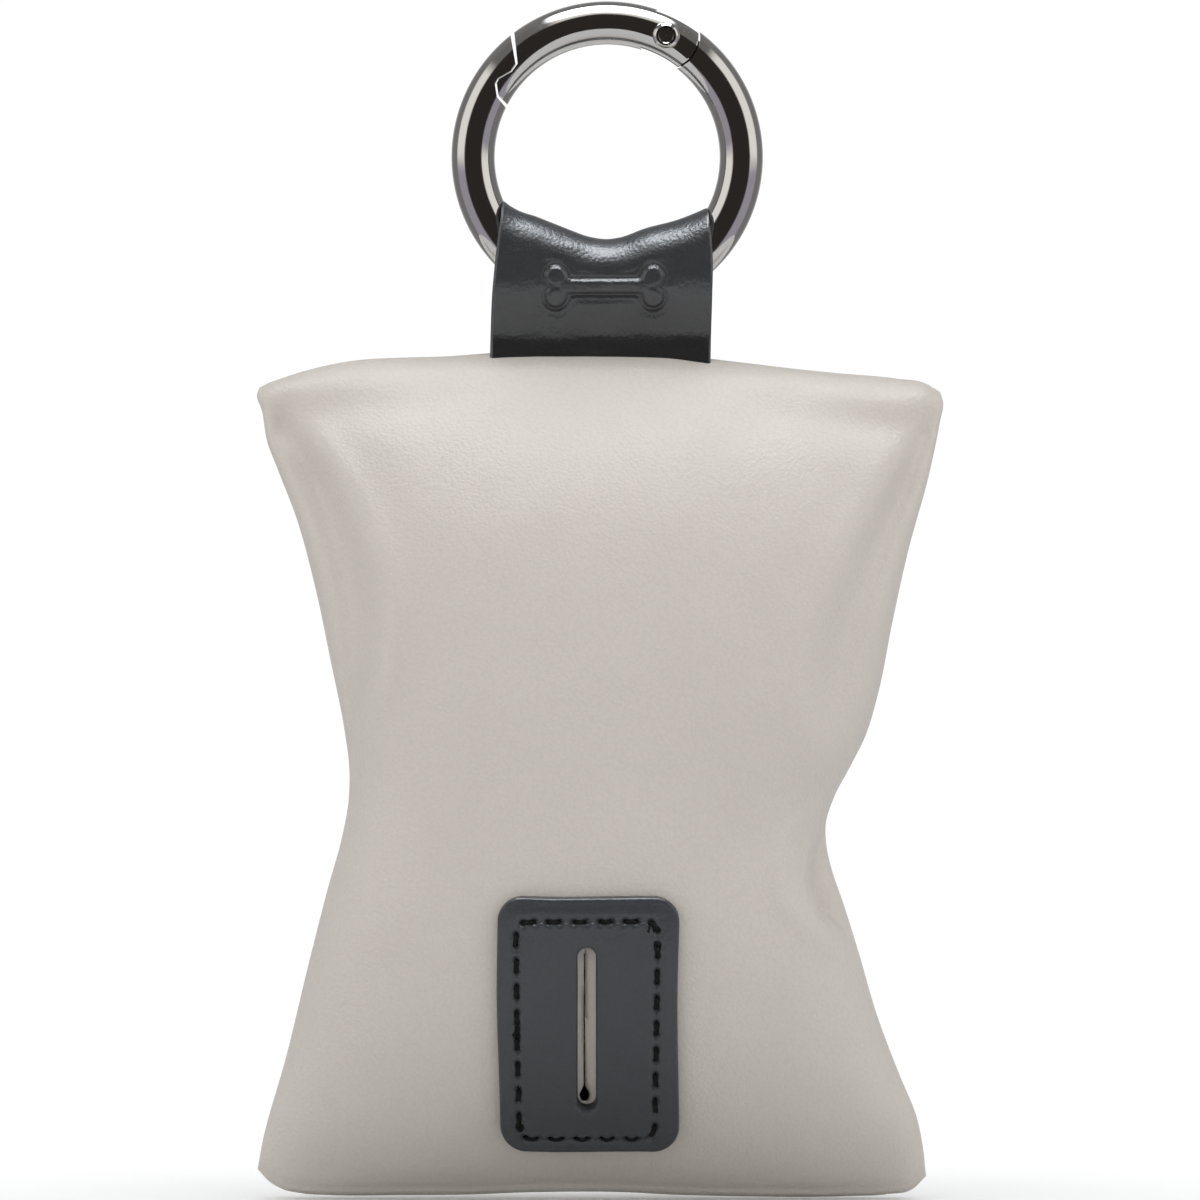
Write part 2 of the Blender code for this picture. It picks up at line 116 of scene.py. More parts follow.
def loft(name, rings, mats, body=None, closed=False, smooth=True):
    """Skins rings of points. An open loft gets its ends filled."""
    rings = [np.asarray(ring) for ring in rings]
    count = len(rings[0])
    faces = grid_faces(len(rings), count, wrap=True)
    last = (len(rings) - 1) * count
    if closed:
        faces += [(last + c, last + (c + 1) % count, (c + 1) % count, c) for c in range(count)]
    else:
        faces += [tuple(range(count))[::-1], tuple(range(last, last + count))]
    made = make(name, np.vstack(rings), faces, mats, body, smooth)
    outward(made.data)
    return made


def outward(mesh):
    """Turns every face's front side outwards."""
    bm = bmesh.new()
    bm.from_mesh(mesh)
    bmesh.ops.recalc_face_normals(bm, faces=bm.faces)
    bm.to_mesh(mesh)
    bm.free()


def tube(name, path, radius, mats, body, sides):
    """A round tube along a path, with flat ends; its radius may vary."""
    path = np.asarray(path, float)
    count = len(path)
    radii = np.broadcast_to(radius, count)
    ahead = np.roll(path, -1, 0) - np.roll(path, 1, 0)
    ahead[0], ahead[-1] = path[1] - path[0], path[-1] - path[-2]
    ahead /= np.linalg.norm(ahead, axis=1)[:, None]
    side = np.cross(ahead[0], (0, 0, 1) if abs(ahead[0][2]) < 0.9 else (1, 0, 0))
    a = 2 * np.pi * np.arange(sides)[:, None] / sides
    rings = []
    for i in range(count):
        side = side - ahead[i] * (side @ ahead[i])
        side /= np.linalg.norm(side)
        up = np.cross(ahead[i], side)
        rings.append(path[i] + radii[i] * (np.cos(a) * side + np.sin(a) * up))
    return loft(name, rings, mats, body)


def applied(made):
    """Replaces an object's mesh with what its modifiers make of it."""
    graph = bpy.context.evaluated_depsgraph_get()
    mesh = bpy.data.meshes.new_from_object(made.evaluated_get(graph))
    made.modifiers.clear()
    made.data = mesh
    return mesh


def sharpen(mesh, degrees):
    """Smooth faces with hard edges wherever two faces meet at more than an angle."""
    bm = bmesh.new()
    bm.from_mesh(mesh)
    limit = math.radians(degrees)
    for edge in bm.edges:
        edge.smooth = edge.is_manifold and edge.calc_face_angle(0) < limit
    for face in bm.faces:
        face.smooth = True
    bm.to_mesh(mesh)
    bm.free()


def combine(made, other, operation):
    """Applies a Boolean and throws the tool away."""
    step = made.modifiers.new("cut", "BOOLEAN")
    step.operation, step.solver, step.object = operation, "EXACT", other
    bpy.context.view_layer.update()
    applied(made)
    bpy.data.objects.remove(other, do_unlink=True)


def stands_for(piece, slot, *nodes):
    """Hides the CAD nodes that a piece takes the place of; the piece and the material slot are not used."""
    if nodes:
        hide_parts(*nodes)


def step01(x):
    """0 below 0, 1 above 1, and a smooth rise between."""
    x = np.clip(x, 0, 1)
    return x * x * (3 - 2 * x)


def bump(x, width):
    """A rounded hump of height 1 at 0."""
    return np.exp(-(x / width) ** 2)


def curve(points, at):
    """A smooth curve through (place, value) points, flat beyond its ends."""
    px, py = np.array(points, float).T
    slope = np.gradient(py, px)
    at = np.clip(at, px[0], px[-1])
    i = np.clip(np.searchsorted(px, at, side="right") - 1, 0, len(px) - 2)
    wide = px[i + 1] - px[i]
    t = (at - px[i]) / wide
    return ((2 * t**3 - 3 * t**2 + 1) * py[i] + (t**3 - 2 * t**2 + t) * slope[i] * wide
            + (3 * t**2 - 2 * t**3) * py[i + 1] + (t**3 - t**2) * slope[i + 1] * wide)


# ---- materials ----


def node(tree, kind, inputs=None, **settings):
    made = tree.nodes.new("ShaderNode" + kind)
    for key, value in settings.items():
        setattr(made, key, value)
    for key, value in (inputs or {}).items():
        if isinstance(value, bpy.types.NodeSocket):
            tree.links.new(value, made.inputs[key])
        else:
            made.inputs[key].default_value = value
    return made


def blank(name):
    """A new material, its node tree, its shader, and the place of each point in the frame's metres."""
    mat = bpy.data.materials.new(name)
    mat.use_nodes = True
    tree = mat.node_tree
    return mat, tree, tree.nodes["Principled BSDF"], node(tree, "TexCoord").outputs["Object"]


def mix_colour(tree, share, a, b):
    made = node(tree, "Mix", {0: share}, data_type="RGBA", clamp_factor=False)
    for index, value in ((6, a), (7, b)):
        if isinstance(value, bpy.types.NodeSocket):
            tree.links.new(value, made.inputs[index])
        else:
            made.inputs[index].default_value = (*value, 1)
    return made.outputs[2]


def maths(tree, operation, a, b):
    return node(tree, "Math", {0: a, 1: b}, operation=operation).outputs[0]


def ranged(tree, value, low, high, to_low=0.0, to_high=1.0):
    """A smooth change from to_low to to_high, as value goes from low to high."""
    made = node(tree, "MapRange", {"Value": value, "From Min": low, "From Max": high,
                                   "To Min": to_low, "To Max": to_high}, interpolation_type="SMOOTHSTEP")
    return made.outputs[0]


def darker(colour, share):
    return tuple(share * c for c in colour)


def surface(tree, shader, colour, roughness, height, depth_mm, strength=1.0, gloss=0.5):
    """Gives a shader its colour, its roughness, its fine relief and how much it mirrors."""
    relief = node(tree, "Bump", {"Strength": strength, "Distance": depth_mm * MM, "Height": height})
    for key, value in (("Base Color", colour), ("Roughness", roughness), ("Normal", relief.outputs[0]),
                       ("Specular IOR Level", gloss)):
        if isinstance(value, bpy.types.NodeSocket):
            tree.links.new(value, shader.inputs[key])
        else:
            shader.inputs[key].default_value = value


def leather(name, colour, shade, roughness, gloss, depth_mm, painted_shade_below=None):
    """Coated leather: pebbled grain over fine pores, with painted shade in the grain's hollows, and the
    colour and the roughness slightly uneven.
    Between two given heights, in millimetres, the colour darkens downwards: painted shade, standing for the
    shade on the strap's foot above the pouch's top."""
    mat, tree, shader, where = blank(name)
    wobble = node(tree, "TexNoise", {"Vector": where, "Scale": 900.0, "Detail": 2.0}).outputs["Color"]
    moved = node(tree, "MixRGB", {"Fac": 0.0006, "Color1": where, "Color2": wobble}).outputs[0]
    pebble = node(tree, "TexVoronoi", {"Vector": moved, "Scale": 1 / (GRAIN_MM * MM)}, feature="F1")
    pores = node(tree, "TexNoise", {"Vector": where, "Scale": 2.6 / (GRAIN_MM * MM), "Detail": 3.0})
    soft = node(tree, "TexNoise", {"Vector": where, "Scale": 260.0, "Detail": 2.0})
    height = maths(tree, "ADD", maths(tree, "MULTIPLY", pebble.outputs["Distance"], -0.9),
                   maths(tree, "MULTIPLY", pores.outputs["Fac"], 0.5))
    height = maths(tree, "ADD", height, maths(tree, "MULTIPLY", soft.outputs["Fac"], 1.2))
    blotch = node(tree, "TexNoise", {"Vector": where, "Scale": 45.0, "Detail": 4.0, "Roughness": 0.6})
    tint = mix_colour(tree, ranged(tree, blotch.outputs["Fac"], 0.3, 0.7), colour, shade)
    # painted shade: the grain's hollows are darkened
    grain_hollow_shade = ranged(tree, pebble.outputs["Distance"], 0.35, 0.75, 0.0, 0.3)
    tint = mix_colour(tree, grain_hollow_shade, tint, darker(shade, 0.92))
    # painted shade: below the given heights the colour darkens towards the strap's foot
    if painted_shade_below:
        z = node(tree, "SeparateXYZ", {"Vector": where}).outputs["Z"]
        depth = ranged(tree, z, painted_shade_below[0] * MM, painted_shade_below[1] * MM, 0.75, 0.0)
        tint = mix_colour(tree, depth, tint, PAINTED_SHADE_BLACK)
    rough = ranged(tree, blotch.outputs["Fac"], 0.25, 0.75, roughness - 0.05, roughness + 0.06)
    surface(tree, shader, tint, rough, height, depth_mm, gloss=gloss)
    return mat


def metal(name, colour, roughness):
    """Plated metal, with the faint waviness of polished castings."""
    mat, tree, shader, where = blank(name)
    waves = node(tree, "TexNoise", {"Vector": where, "Scale": 320.0, "Detail": 1.0}).outputs["Fac"]
    smear = node(tree, "TexNoise", {"Vector": where, "Scale": 1500.0, "Detail": 4.0}).outputs["Fac"]
    rough = ranged(tree, smear, 0.3, 0.8, roughness, roughness + 0.06)
    surface(tree, shader, (*colour, 1), rough, waves, 0.05, 0.5)
    shader.inputs["Metallic"].default_value = 1.0
    return mat


def fabric(name, colour, pitch_mm):
    """Close weave, as on a zip's tape, with painted shade in the weave's hollows."""
    mat, tree, shader, where = blank(name)
    place = node(tree, "SeparateXYZ", {"Vector": where})
    turn = 2 * math.pi / (pitch_mm * MM)
    across, up = (maths(tree, "SINE", maths(tree, "MULTIPLY", place.outputs[axis], turn), 0.0)
                  for axis in "XZ")
    weave = maths(tree, "MULTIPLY", across, up)
    # painted shade: the weave's low points are darkened
    tint = mix_colour(tree, ranged(tree, weave, -1.0, 1.0), darker(colour, 0.55), colour)
    surface(tree, shader, tint, 0.85, weave, 0.08)
    shader.inputs["Sheen Weight"].default_value = 0.3
    return mat


def thread(name, colour):
    """Waxed thread, with diagonal plies and painted shade in the grooves between them."""
    mat, tree, shader, where = blank(name)
    plies = node(tree, "TexWave", {"Vector": where, "Scale": 620.0, "Distortion": 1.5, "Detail": 1.0},
                 bands_direction="DIAGONAL").outputs["Fac"]
    # painted shade: the grooves between the plies are darkened
    surface(tree, shader, mix_colour(tree, plies, darker(colour, 0.5), colour), 0.8, plies, 0.06, 0.8, 0.2)
    return mat


def moulded(name, colour, roughness):
    """Plastic, card or an edge coat, finely specked in its colour, its roughness and its relief."""
    mat, tree, shader, where = blank(name)
    specks = node(tree, "TexNoise", {"Vector": where, "Scale": 1 / (0.3 * MM), "Detail": 3.0}).outputs["Fac"]
    tint = mix_colour(tree, ranged(tree, specks, 0.3, 0.7), colour, darker(colour, 0.8))
    rough = ranged(tree, specks, 0.3, 0.7, roughness, roughness + 0.12)
    surface(tree, shader, tint, rough, specks, 0.02, 0.5)
    return mat


GRAIN_MM = 0.42
# painted shade on the strap's foot: its colour, and the heights in millimetres over which it darkens
# downwards
PAINTED_SHADE_BLACK = (0.008, 0.0075, 0.0065)
STRAP_PAINTED_SHADE = (94.0, 103.0)
GREIGE = leather("greige leather", (0.585, 0.545, 0.495), (0.565, 0.525, 0.475), 0.38, 0.25, 0.055)
BLACK = leather("black leather", (0.044, 0.047, 0.053), (0.037, 0.04, 0.046), 0.34, 0.5, 0.035)
# the strap's leather, with painted shade darkening it towards its foot
STRAP_BLACK = leather("strap leather", (0.036, 0.039, 0.043), (0.029, 0.031, 0.035), 0.32, 0.95, 0.035,
                      STRAP_PAINTED_SHADE)
RAW_EDGE = moulded("painted edge", (0.075, 0.08, 0.09), 0.42)
THREAD = thread("black thread", (0.008, 0.008, 0.009))
RING_METAL = metal("black nickel", (0.6, 0.585, 0.57), 0.05)
ZIP_METAL = metal("zip metal", (0.5, 0.49, 0.48), 0.14)
TAPE = fabric("zip tape", (0.035, 0.035, 0.038), 0.55)
NYLON = moulded("zip nylon", (0.03, 0.03, 0.034), 0.3)
FILM = moulded("bag film", (0.03, 0.03, 0.03), 0.35)
CARD = moulded("card", (0.42, 0.31, 0.2), 0.85)


# ---- pouch ----

SHELL_LOW, SHELL_HIGH = cad_box("pouch_shell")
HEIGHT = SHELL_HIGH[2]
WAIST_Z = 45.0
FRONT_DEPTH = -SHELL_LOW[1]
BACK_FLAT = SHELL_HIGH[1]
BACK_DEPTH = BACK_FLAT + 3.0
TOP_SEAM = 2.5
BOTTOM_SEAM = 1.5
LEATHER_T = 0.9
# the outline seen from the front: (z, x) up each side, and (x, z) along the top and the bottom
LEFT_EDGE = [(2.7, -38.1), (6.4, -37.4), (15.3, -34.9), (26, -32.3), (34.6, -30.1), (39.6, -28.7),
             (44, -27.9), (47, -27.8), (52, -28.4), (59, -29.8), (68, -31.7), (75.3, -33.7),
             (81, -35.9), (83.6, -36.9), (87.4, -37.6), (88.9, -38.1), (90, -37.75)]
RIGHT_EDGE = [(2.3, 36.2), (5.2, 35.9), (9, 35.1), (13.4, 33.3), (20, 30.8), (27.5, 28.6), (32.6, 27),
              (36.4, 25.7), (39.3, 25.1), (41.6, 25.1), (44.4, 26), (48, 27.9), (51, 29.4), (55.6, 30.8),
              (64, 32.5), (72, 34.3), (80, 36.5), (86, 37.75), (88.2, 38.1), (89.4, 37.75)]
TOP_EDGE = [(-38.2, 89.8), (-37.2, 90.3), (-35.4, 90.95), (-33.3, 91.6), (-30, 92.4), (-26.7, 92.9),
            (-23, 93.1), (-16.7, 93.3), (-12, 93.65), (0, 93.8), (8, 93.6), (13.3, 92.9), (16.7, 92.5),
            (20, 92.1), (26.7, 91.4), (33.3, 90.8), (36.7, 90.2), (38.2, 89.3)]
BOTTOM_EDGE = [(-38.2, 3), (-37, 1.7), (-35.5, 0.8), (-33.3, 0.3), (-30, 0.1), (-22, 0.1), (-15, 0.15),
               (-8, 0.4), (3, 0.4), (8, 0.15), (14, 0), (28, 0), (32, 0.2), (35, 0.9), (36.3, 2.2)]
# folds, as (z, x)
LEFT_RIDGE = [(44, -27), (50, -26), (58, -24.2), (66, -23.4), (72, -25), (79, -28), (86, -32.5)]
RIGHT_RIDGE = [(48, 23.6), (57, 21.6), (64, 23.4), (71, 26.6), (79, 31), (86, 34.6)]
TUCK = [(25.6, 28.9), (28, 27.2), (30.4, 25.4), (31.6, 24.1), (33.4, 23.1), (35.8, 22.8), (39, 23.4),
        (42.2, 24.7), (44.4, 26)]

PATCH_X, PATCH_Z = -1.28, 19.95
PATCH_W, PATCH_H = 19.75, 27.65
PATCH_LIFT = 0.1
SLOT_X, SLOT_Z = -1.45, 19.5
SLOT_W, SLOT_H = 2.0, 17.7
SLIT_X = -1.72
SLIT_HALF = 0.3
SLIT_LOW, SLIT_HIGH = 11.05, 27.4
STITCH_PITCH = 2.76
STITCH_RUN = 1.25

ZIP_LOW, ZIP_HIGH = 18.0, 75.3
ZIP_HALF = 4.5
ZIP_STITCH_X = 6.0
TAPE_T = 0.42


def lens(t, power=2.6):
    return np.maximum(0, 1 - np.abs(t) ** power) ** (1 / power)


def swell(share, power):
    """How far the pouch has opened between its seams: 0 at a seam, 1 at the waist."""
    waist = WAIST_Z / HEIGHT
    half = np.where(share < waist, waist - 0.01, 0.998 - waist)
    return np.maximum(0, 1 - np.abs((share - waist) / half) ** power)


def seam_roll(share, t):
    """Half the thickness of the turned seams: round at both edges, and fullest at the top corners."""
    z = share * HEIGHT
    top = TOP_SEAM * np.sqrt(np.clip(1 - ((z - (HEIGHT - 2.2)) / 2.2) ** 2, 0, 1))
    low = BOTTOM_SEAM * np.sqrt(np.clip(1 - ((1.8 - z) / 1.8) ** 2, 0, 1))
    middle = BOTTOM_SEAM + (TOP_SEAM - BOTTOM_SEAM) * share
    roll = np.where(z > HEIGHT - 2.2, top, np.where(z < 1.8, low, middle))
    return roll * (1 - 0.5 * (1 - np.abs(t) ** 4) * step01((share - 0.75) / 0.22))


def ends(t):
    """The heights of the bottom and the top edge, t of the way across."""
    return curve(BOTTOM_EDGE, 37.25 * t - 0.95), curve(TOP_EDGE, 38.2 * t)


def sides(share):
    """The left and right edges' x, a share of the way up."""
    rims = []
    for t, edge in ((-1.0, LEFT_EDGE), (1.0, RIGHT_EDGE)):
        low, top = ends(np.array(t))
        rims.append(curve(edge, low + share * (top - low)))
    return rims


def place(t, share):
    """The x and z of a point t of the way across and a share of the way up."""
    left, right = sides(share)
    low, top = ends(t)
    return (left + right) / 2 + t * (right - left) / 2, low + share * (top - low)


def unplace(x, z):
    """Works back from a place to how far across and how far up it is."""
    t, share = x / 33, z / HEIGHT
    for _ in range(8):
        low, top = ends(t)
        share = np.clip((z - low) / (top - low), 0, 1)
        left, right = sides(share)
        t = np.clip((2 * x - left - right) / (right - left), -1, 1)
    return t, share


def ripple(x, z, size, seed):
    """Gentle unevenness, about -1 to 1."""
    spots = zip(np.ravel(x) / size, np.ravel(z) / size)
    return np.reshape([noise.noise(Vector((a, seed, b * 0.8))) for a, b in spots], np.shape(x))


def fold(body, beyond, room, rise, hollow, width):
    """A soft ridge with a hollow on its outer side; beyond is the distance past the ridge."""
    deep = np.clip(room, 1.5, None) * 0.42
    return body + rise * bump(beyond + 0.4, width) - hollow * bump(beyond - deep - 0.6, deep * 0.75)


def front_depth(x, z, t, share):
    """How far the front stands out, with the folds that the leather has taken."""
    left, right = sides(share)
    body = (FRONT_DEPTH - TOP_SEAM) * swell(share, 3) * lens(t)
    ridge = curve(LEFT_RIDGE, z)
    strength = step01((z - 44) / 12) * step01((91 - z) / 12)
    body = fold(body, ridge - x, ridge - left, 0.8 * strength, 2.6 * strength, 2.2)
    ridge = curve(RIGHT_RIDGE, z)
    strength = step01((z - 47) / 12) * step01((90 - z) / 12)
    body = fold(body, x - ridge, right - ridge, 0.6 * strength, 2.2 * strength, 2.6)
    tuck = curve(TUCK, z)
    strength = step01((z - 25.6) / 4.5) * step01((45 - z) / 4)
    body = body * (1 - 0.66 * strength * step01((x - tuck + 0.25) / 1.1))
    body = body + 0.6 * strength * bump(x - tuck + 2.6, 1.8)
    corner = np.abs(t) ** 3
    inside = step01((1 - np.abs(t)) / 0.06)
    body = body - (0.1 + 0.9 * corner) * bump(z - curve(TOP_EDGE, x) + 5.6, 2.2) * inside
    body = body + 0.4 * corner * bump(z - curve(TOP_EDGE, x) + 2.4, 1.6) * inside
    depth = seam_roll(share, t) * lens(t, 7) + np.maximum(body, 0)
    soft = inside * step01(share / 0.04) * step01((1 - share) / 0.05)
    return depth + soft * (0.28 * ripple(x, z, 13, 3.0) + 0.1 * ripple(x, z, 5, 5.0))


def back_depth(x, z, t, share):
    """The back: flat behind the roll, and drawn in along the zip."""
    body = seam_roll(share, t) * lens(t, 7) + (BACK_DEPTH - TOP_SEAM) * swell(share, 4) * lens(t)
    soft = 1.6
    over = np.clip((body - BACK_FLAT) / soft, -8, 30)
    body = np.where(over > -7.9, BACK_FLAT - soft * np.log1p(np.exp(-over)), body)
    along = step01((z - ZIP_LOW + 5) / 4) * step01((ZIP_HIGH + 5 - z) / 4)
    beside = np.abs(x)
    dip = 0.55 * step01((9.5 - beside) / 3.5) + 0.3 * bump(beside - ZIP_STITCH_X, 0.7)
    slack = step01((1 - np.abs(t)) / 0.08) * step01(share / 0.05) * step01((1 - share) / 0.06)
    return np.maximum(body - along * dip, 0) + slack * (0.3 * ripple(x, z, 12, 9.0) - 0.15)


def on_skin(x, z, lift, front=True):
    """Points lifted off the pouch's front or back, the way that it faces there."""
    x, z = np.asarray(x, float), np.asarray(z, float)

    def depth(px, pz):
        return (front_depth if front else back_depth)(px, pz, *unplace(px, pz))

    gap = 0.6
    lean_x = (depth(x + gap, z) - depth(x - gap, z)) / (2 * gap)
    lean_z = (depth(x, z + gap) - depth(x, z - gap)) / (2 * gap)
    facing = np.stack([-lean_x, np.ones_like(lean_x), -lean_z], -1)
    facing /= np.linalg.norm(facing, axis=-1)[..., None]
    points = np.stack([x, depth(x, z), z], -1) + facing * np.asarray(lift)[..., None]
    return points * (1, -1 if front else 1, 1)


def make_pouch():
    """One skin: front and back grids that share their outline, then cut open at the slit and the zip."""
    across, levels = 190, 210
    even = np.arange(levels + 1) / levels
    tt, ss = np.meshgrid(-np.cos(np.pi * np.arange(across + 1) / across),
                         0.5 * even + 0.5 * (0.5 - 0.5 * np.cos(np.pi * even)))
    x, z = place(tt, ss)
    rim = (np.abs(tt) > 1 - 1e-9) | (ss < 1e-9) | (ss > 1 - 1e-9)
    front = np.dstack([x, np.where(rim, 0, -front_depth(x, z, tt, ss)), z]).reshape(-1, 3)
    back = np.dstack([x, np.where(rim, 0, back_depth(x, z, tt, ss)), z]).reshape(-1, 3)
    shared = np.where(rim.ravel(), 0, len(front)) + np.arange(len(front))
    faces = grid_faces(levels + 1, across + 1)
    back_faces = [tuple(int(shared[k]) for k in reversed(f)) for f in faces]
    mesh = bpy.data.meshes.new("pouch_leather")
    mesh.from_pydata([tuple(p) for p in put(np.vstack([front, back]))], [], faces + back_faces)
    bm = bmesh.new()
    bm.from_mesh(mesh)
    bmesh.ops.delete(bm, geom=[v for v in bm.verts if not v.link_faces], context="VERTS")
    bmesh.ops.recalc_face_normals(bm, faces=bm.faces)
    open_up(bm, (SLIT_X - SLIT_HALF, SLIT_X + SLIT_HALF), (SLIT_LOW, SLIT_HIGH), front=True)
    open_up(bm, (-ZIP_HALF, ZIP_HALF), (ZIP_LOW, ZIP_HIGH), front=False)
    narrow_slit(bm)
    bm.to_mesh(mesh)
    bm.free()
    pouch = finish_piece("pouch_leather", mesh, GREIGE, "pouch")
    wall = pouch.modifiers.new("wall", "SOLIDIFY")
    wall.thickness, wall.offset = LEATHER_T * MM, -1
    stands_for(pouch, "greige_leather", "pouch_shell")


def open_up(bm, x, z, front):
    """Cuts a rectangular opening in the front or the back skin, and turns its edge slightly inwards."""
    middle = SEAM_Y * MM
    lo_x, hi_x, lo_z, hi_z = (v * MM for v in (*x, *z))

    def near(face, room):
        c = face.calc_center_median()
        inside = lo_x - room < c.x < hi_x + room and lo_z - room < c.z < hi_z + room
        return inside and (c.y < middle) == front

    for point, axis in (((lo_x, 0, 0), (1, 0, 0)), ((hi_x, 0, 0), (1, 0, 0)),
                        ((0, 0, lo_z), (0, 0, 1)), ((0, 0, hi_z), (0, 0, 1))):
        some = [f for f in bm.faces if near(f, 2.5 * MM)]
        geom = list({e for f in some for e in f.edges} | {v for f in some for v in f.verts}) + some
        bmesh.ops.bisect_plane(bm, geom=geom, plane_co=point, plane_no=axis, dist=1e-6)
    bmesh.ops.delete(bm, geom=[f for f in bm.faces if near(f, -1e-7)], context="FACES")
    turn = (0.5 if front else 1.1) * MM
    for v in bm.verts:
        gap = max(lo_x - v.co.x, v.co.x - hi_x, lo_z - v.co.z, v.co.z - hi_z)
        if (v.co.y < middle) == front and -1e-6 < gap < turn:
            v.co.y += (1 if front else -1) * 0.5 * turn * (1 - gap / turn) ** 2


def narrow_slit(bm):
    """Draws the lips of the slit together, down to a small hole at the lower end."""
    reach = 1.3
    for v in bm.verts:
        x, z = v.co.x / MM - SLIT_X, v.co.z / MM
        if v.co.y > SEAM_Y * MM or abs(x) > reach or not SLIT_LOW - 1 < z < SLIT_HIGH + 1:
            continue
        want = 0.045 + 0.5 * math.exp(-((z - SLIT_LOW - 0.65) / 0.7) ** 2) + 0.015 * math.sin(2.3 * z)
        away = max(0.0, (abs(x) - SLIT_HALF) / (reach - SLIT_HALF))
        v.co.x = (SLIT_X + math.copysign(want + away * (reach - want), x)) * MM
        v.co.y += 0.4 * MM * math.cos(min(1.0, abs(x) / 1.2) * math.pi / 2)


# ---- slotted patch and its stitches ----


def round_box(wide, tall, radius, corner, short, long):
    """A rectangle with round corners as (across, up) points, always in the same order and number."""
    points = []
    for sx, sz, start, side, count in ((1, -1, -90, tall, long), (1, 1, 0, wide, short),
                                       (-1, 1, 90, tall, long), (-1, -1, 180, wide, short)):
        cx, cz = sx * (wide / 2 - radius), sz * (tall / 2 - radius)
        for k in range(corner + 1):
            a = math.radians(start + 90 * k / corner)
            points.append((cx + radius * math.cos(a), cz + radius * math.sin(a)))
        x, z = points[-1]
        ahead = math.radians(start + 180)
        for k in range(1, count):
            run = (side - 2 * radius) * k / count
            points.append((x + run * math.cos(ahead), z + run * math.sin(ahead)))
    return np.array(points)


def patch_loops():
    """The patch's outside, its line of stitches, and its slot."""
    steps = (10, 56, 84)
    outside = round_box(PATCH_W, PATCH_H, 2.7, *steps) + (PATCH_X, PATCH_Z)
    outside[:, 0] += 0.12 * np.sin(outside[:, 1] * 0.21)
    outside[:, 1] += 0.1 * np.sin(outside[:, 0] * 0.3) - 0.012 * (outside[:, 0] - PATCH_X)
    stitched = round_box(15.25, 23.55, 1.2, *steps) + (PATCH_X - 0.15, PATCH_Z - 0.57)
    stitched[:, 0] -= 0.008 * (PATCH_Z - stitched[:, 1]) * np.sign(stitched[:, 0] - PATCH_X)
    slot = round_box(SLOT_W, SLOT_H, SLOT_W / 2 - 0.02, *steps) + (SLOT_X, SLOT_Z)
    return outside, stitched, slot


def along_loop(loop, distance):
    """Points at distances along a closed loop."""
    closed = np.vstack([loop, loop[:1]])
    run = np.concatenate([[0], np.cumsum(np.linalg.norm(np.diff(closed, axis=0), axis=1))])
    distance = np.mod(distance, run[-1])
    return np.stack([np.interp(distance, run, closed[:, k]) for k in (0, 1)], -1), run[-1]


def patch_stitches():
    """Where each stitch goes down: the two ends of every dash, as (x, z)."""
    loop = patch_loops()[1]
    length = along_loop(loop, np.zeros(1))[1]
    count = round(length / STITCH_PITCH)
    starts = length * (np.arange(count) + 0.3) / count
    return along_loop(loop, starts)[0], along_loop(loop, starts + STITCH_RUN)[0]


# the patch's height above the pouch, as (share of the way, height): in from its outside to the line of
# stitches, and on from there to the slot
PATCH_LEVEL = (0.12, 0.2, 0.3, 0.4, 0.5, 0.6, 0.7, 0.8, 0.87)
PATCH_RIM = [(0, -0.1), (0, 0.35), (0, 0.95), (0.03, 1.2), (0.08, 1.34), (0.14, 1.38), (0.24, 1.36),
             (0.36, 1.42), (0.5, 1.46), (0.64, 1.46), (0.76, 1.42), (0.86, 1.36), (0.93, 1.28), (1, 1.22)]
PATCH_FACE = [(0.025, 1.27), (0.05, 1.34), (0.08, 1.39), *((share, 1.42) for share in PATCH_LEVEL),
              (0.92, 1.4), (0.96, 1.34), (0.985, 1.22), (1, 1), (1, 0.5), (1, -0.1)]


def make_patch():
    outside, stitched, slot = patch_loops()
    holes = np.vstack(patch_stitches())
    rows = []
    for profile, start, end in ((PATCH_RIM, outside, stitched), (PATCH_FACE, stitched, slot)):
        rows += [(start + share * (end - start), height) for share, height in profile]
    flat = np.concatenate([loop for loop, height in rows])
    lift = np.concatenate([np.full(len(loop), height) for loop, height in rows])
    top = lift > 1.15
    for hole in holes:
        away = np.linalg.norm(flat - hole, axis=1)
        lift -= top * (0.42 * bump(away, 0.3) - 0.07 * bump(away - 0.75, 0.3))
    ridge = PATCH_Z + PATCH_H / 2 - 1.75
    lift += top * 0.09 * bump(flat[:, 1] - ridge, 0.2) * step01((8.5 - np.abs(flat[:, 0] - PATCH_X)) / 2)
    lift += top * 0.05 * ripple(flat[:, 0], flat[:, 1], 2.2, 4.0)
    points = on_skin(flat[:, 0], flat[:, 1], lift + PATCH_LIFT)
    patch = make("patch_leather", points, grid_faces(len(rows), len(outside), wrap=True), BLACK, "pouch")
    outward(patch.data)
    bottom = patch.modifiers.new("bottom", "SOLIDIFY")
    bottom.thickness, bottom.offset = 0.05 * MM, -1
    stands_for(patch, "black_leather", "slot_patch")


def stitch(name, start, end, radius, height, front=True):
    """One stitch that comes up out of a hole, lies on the leather and goes down again."""
    share = np.linspace(0, 1, 11)
    arch = np.sin(np.pi * share) ** 0.45
    flat = np.array(start) + share[:, None] * (np.array(end) - np.array(start))
    path = on_skin(flat[:, 0], flat[:, 1], height - 0.45 + 0.6 * arch, front)
    made = tube(name, path, radius * (0.85 + 0.15 * arch), THREAD, "pouch", sides=8)
    return made


# loose knots of thread on the patch: x, z and turn
KNOTS = [(-9.1, 19.2, 0.5), (-8.9, 9.1, -0.4), (5.5, 30.4, 0.8), (6.2, 28.5, 2.0)]


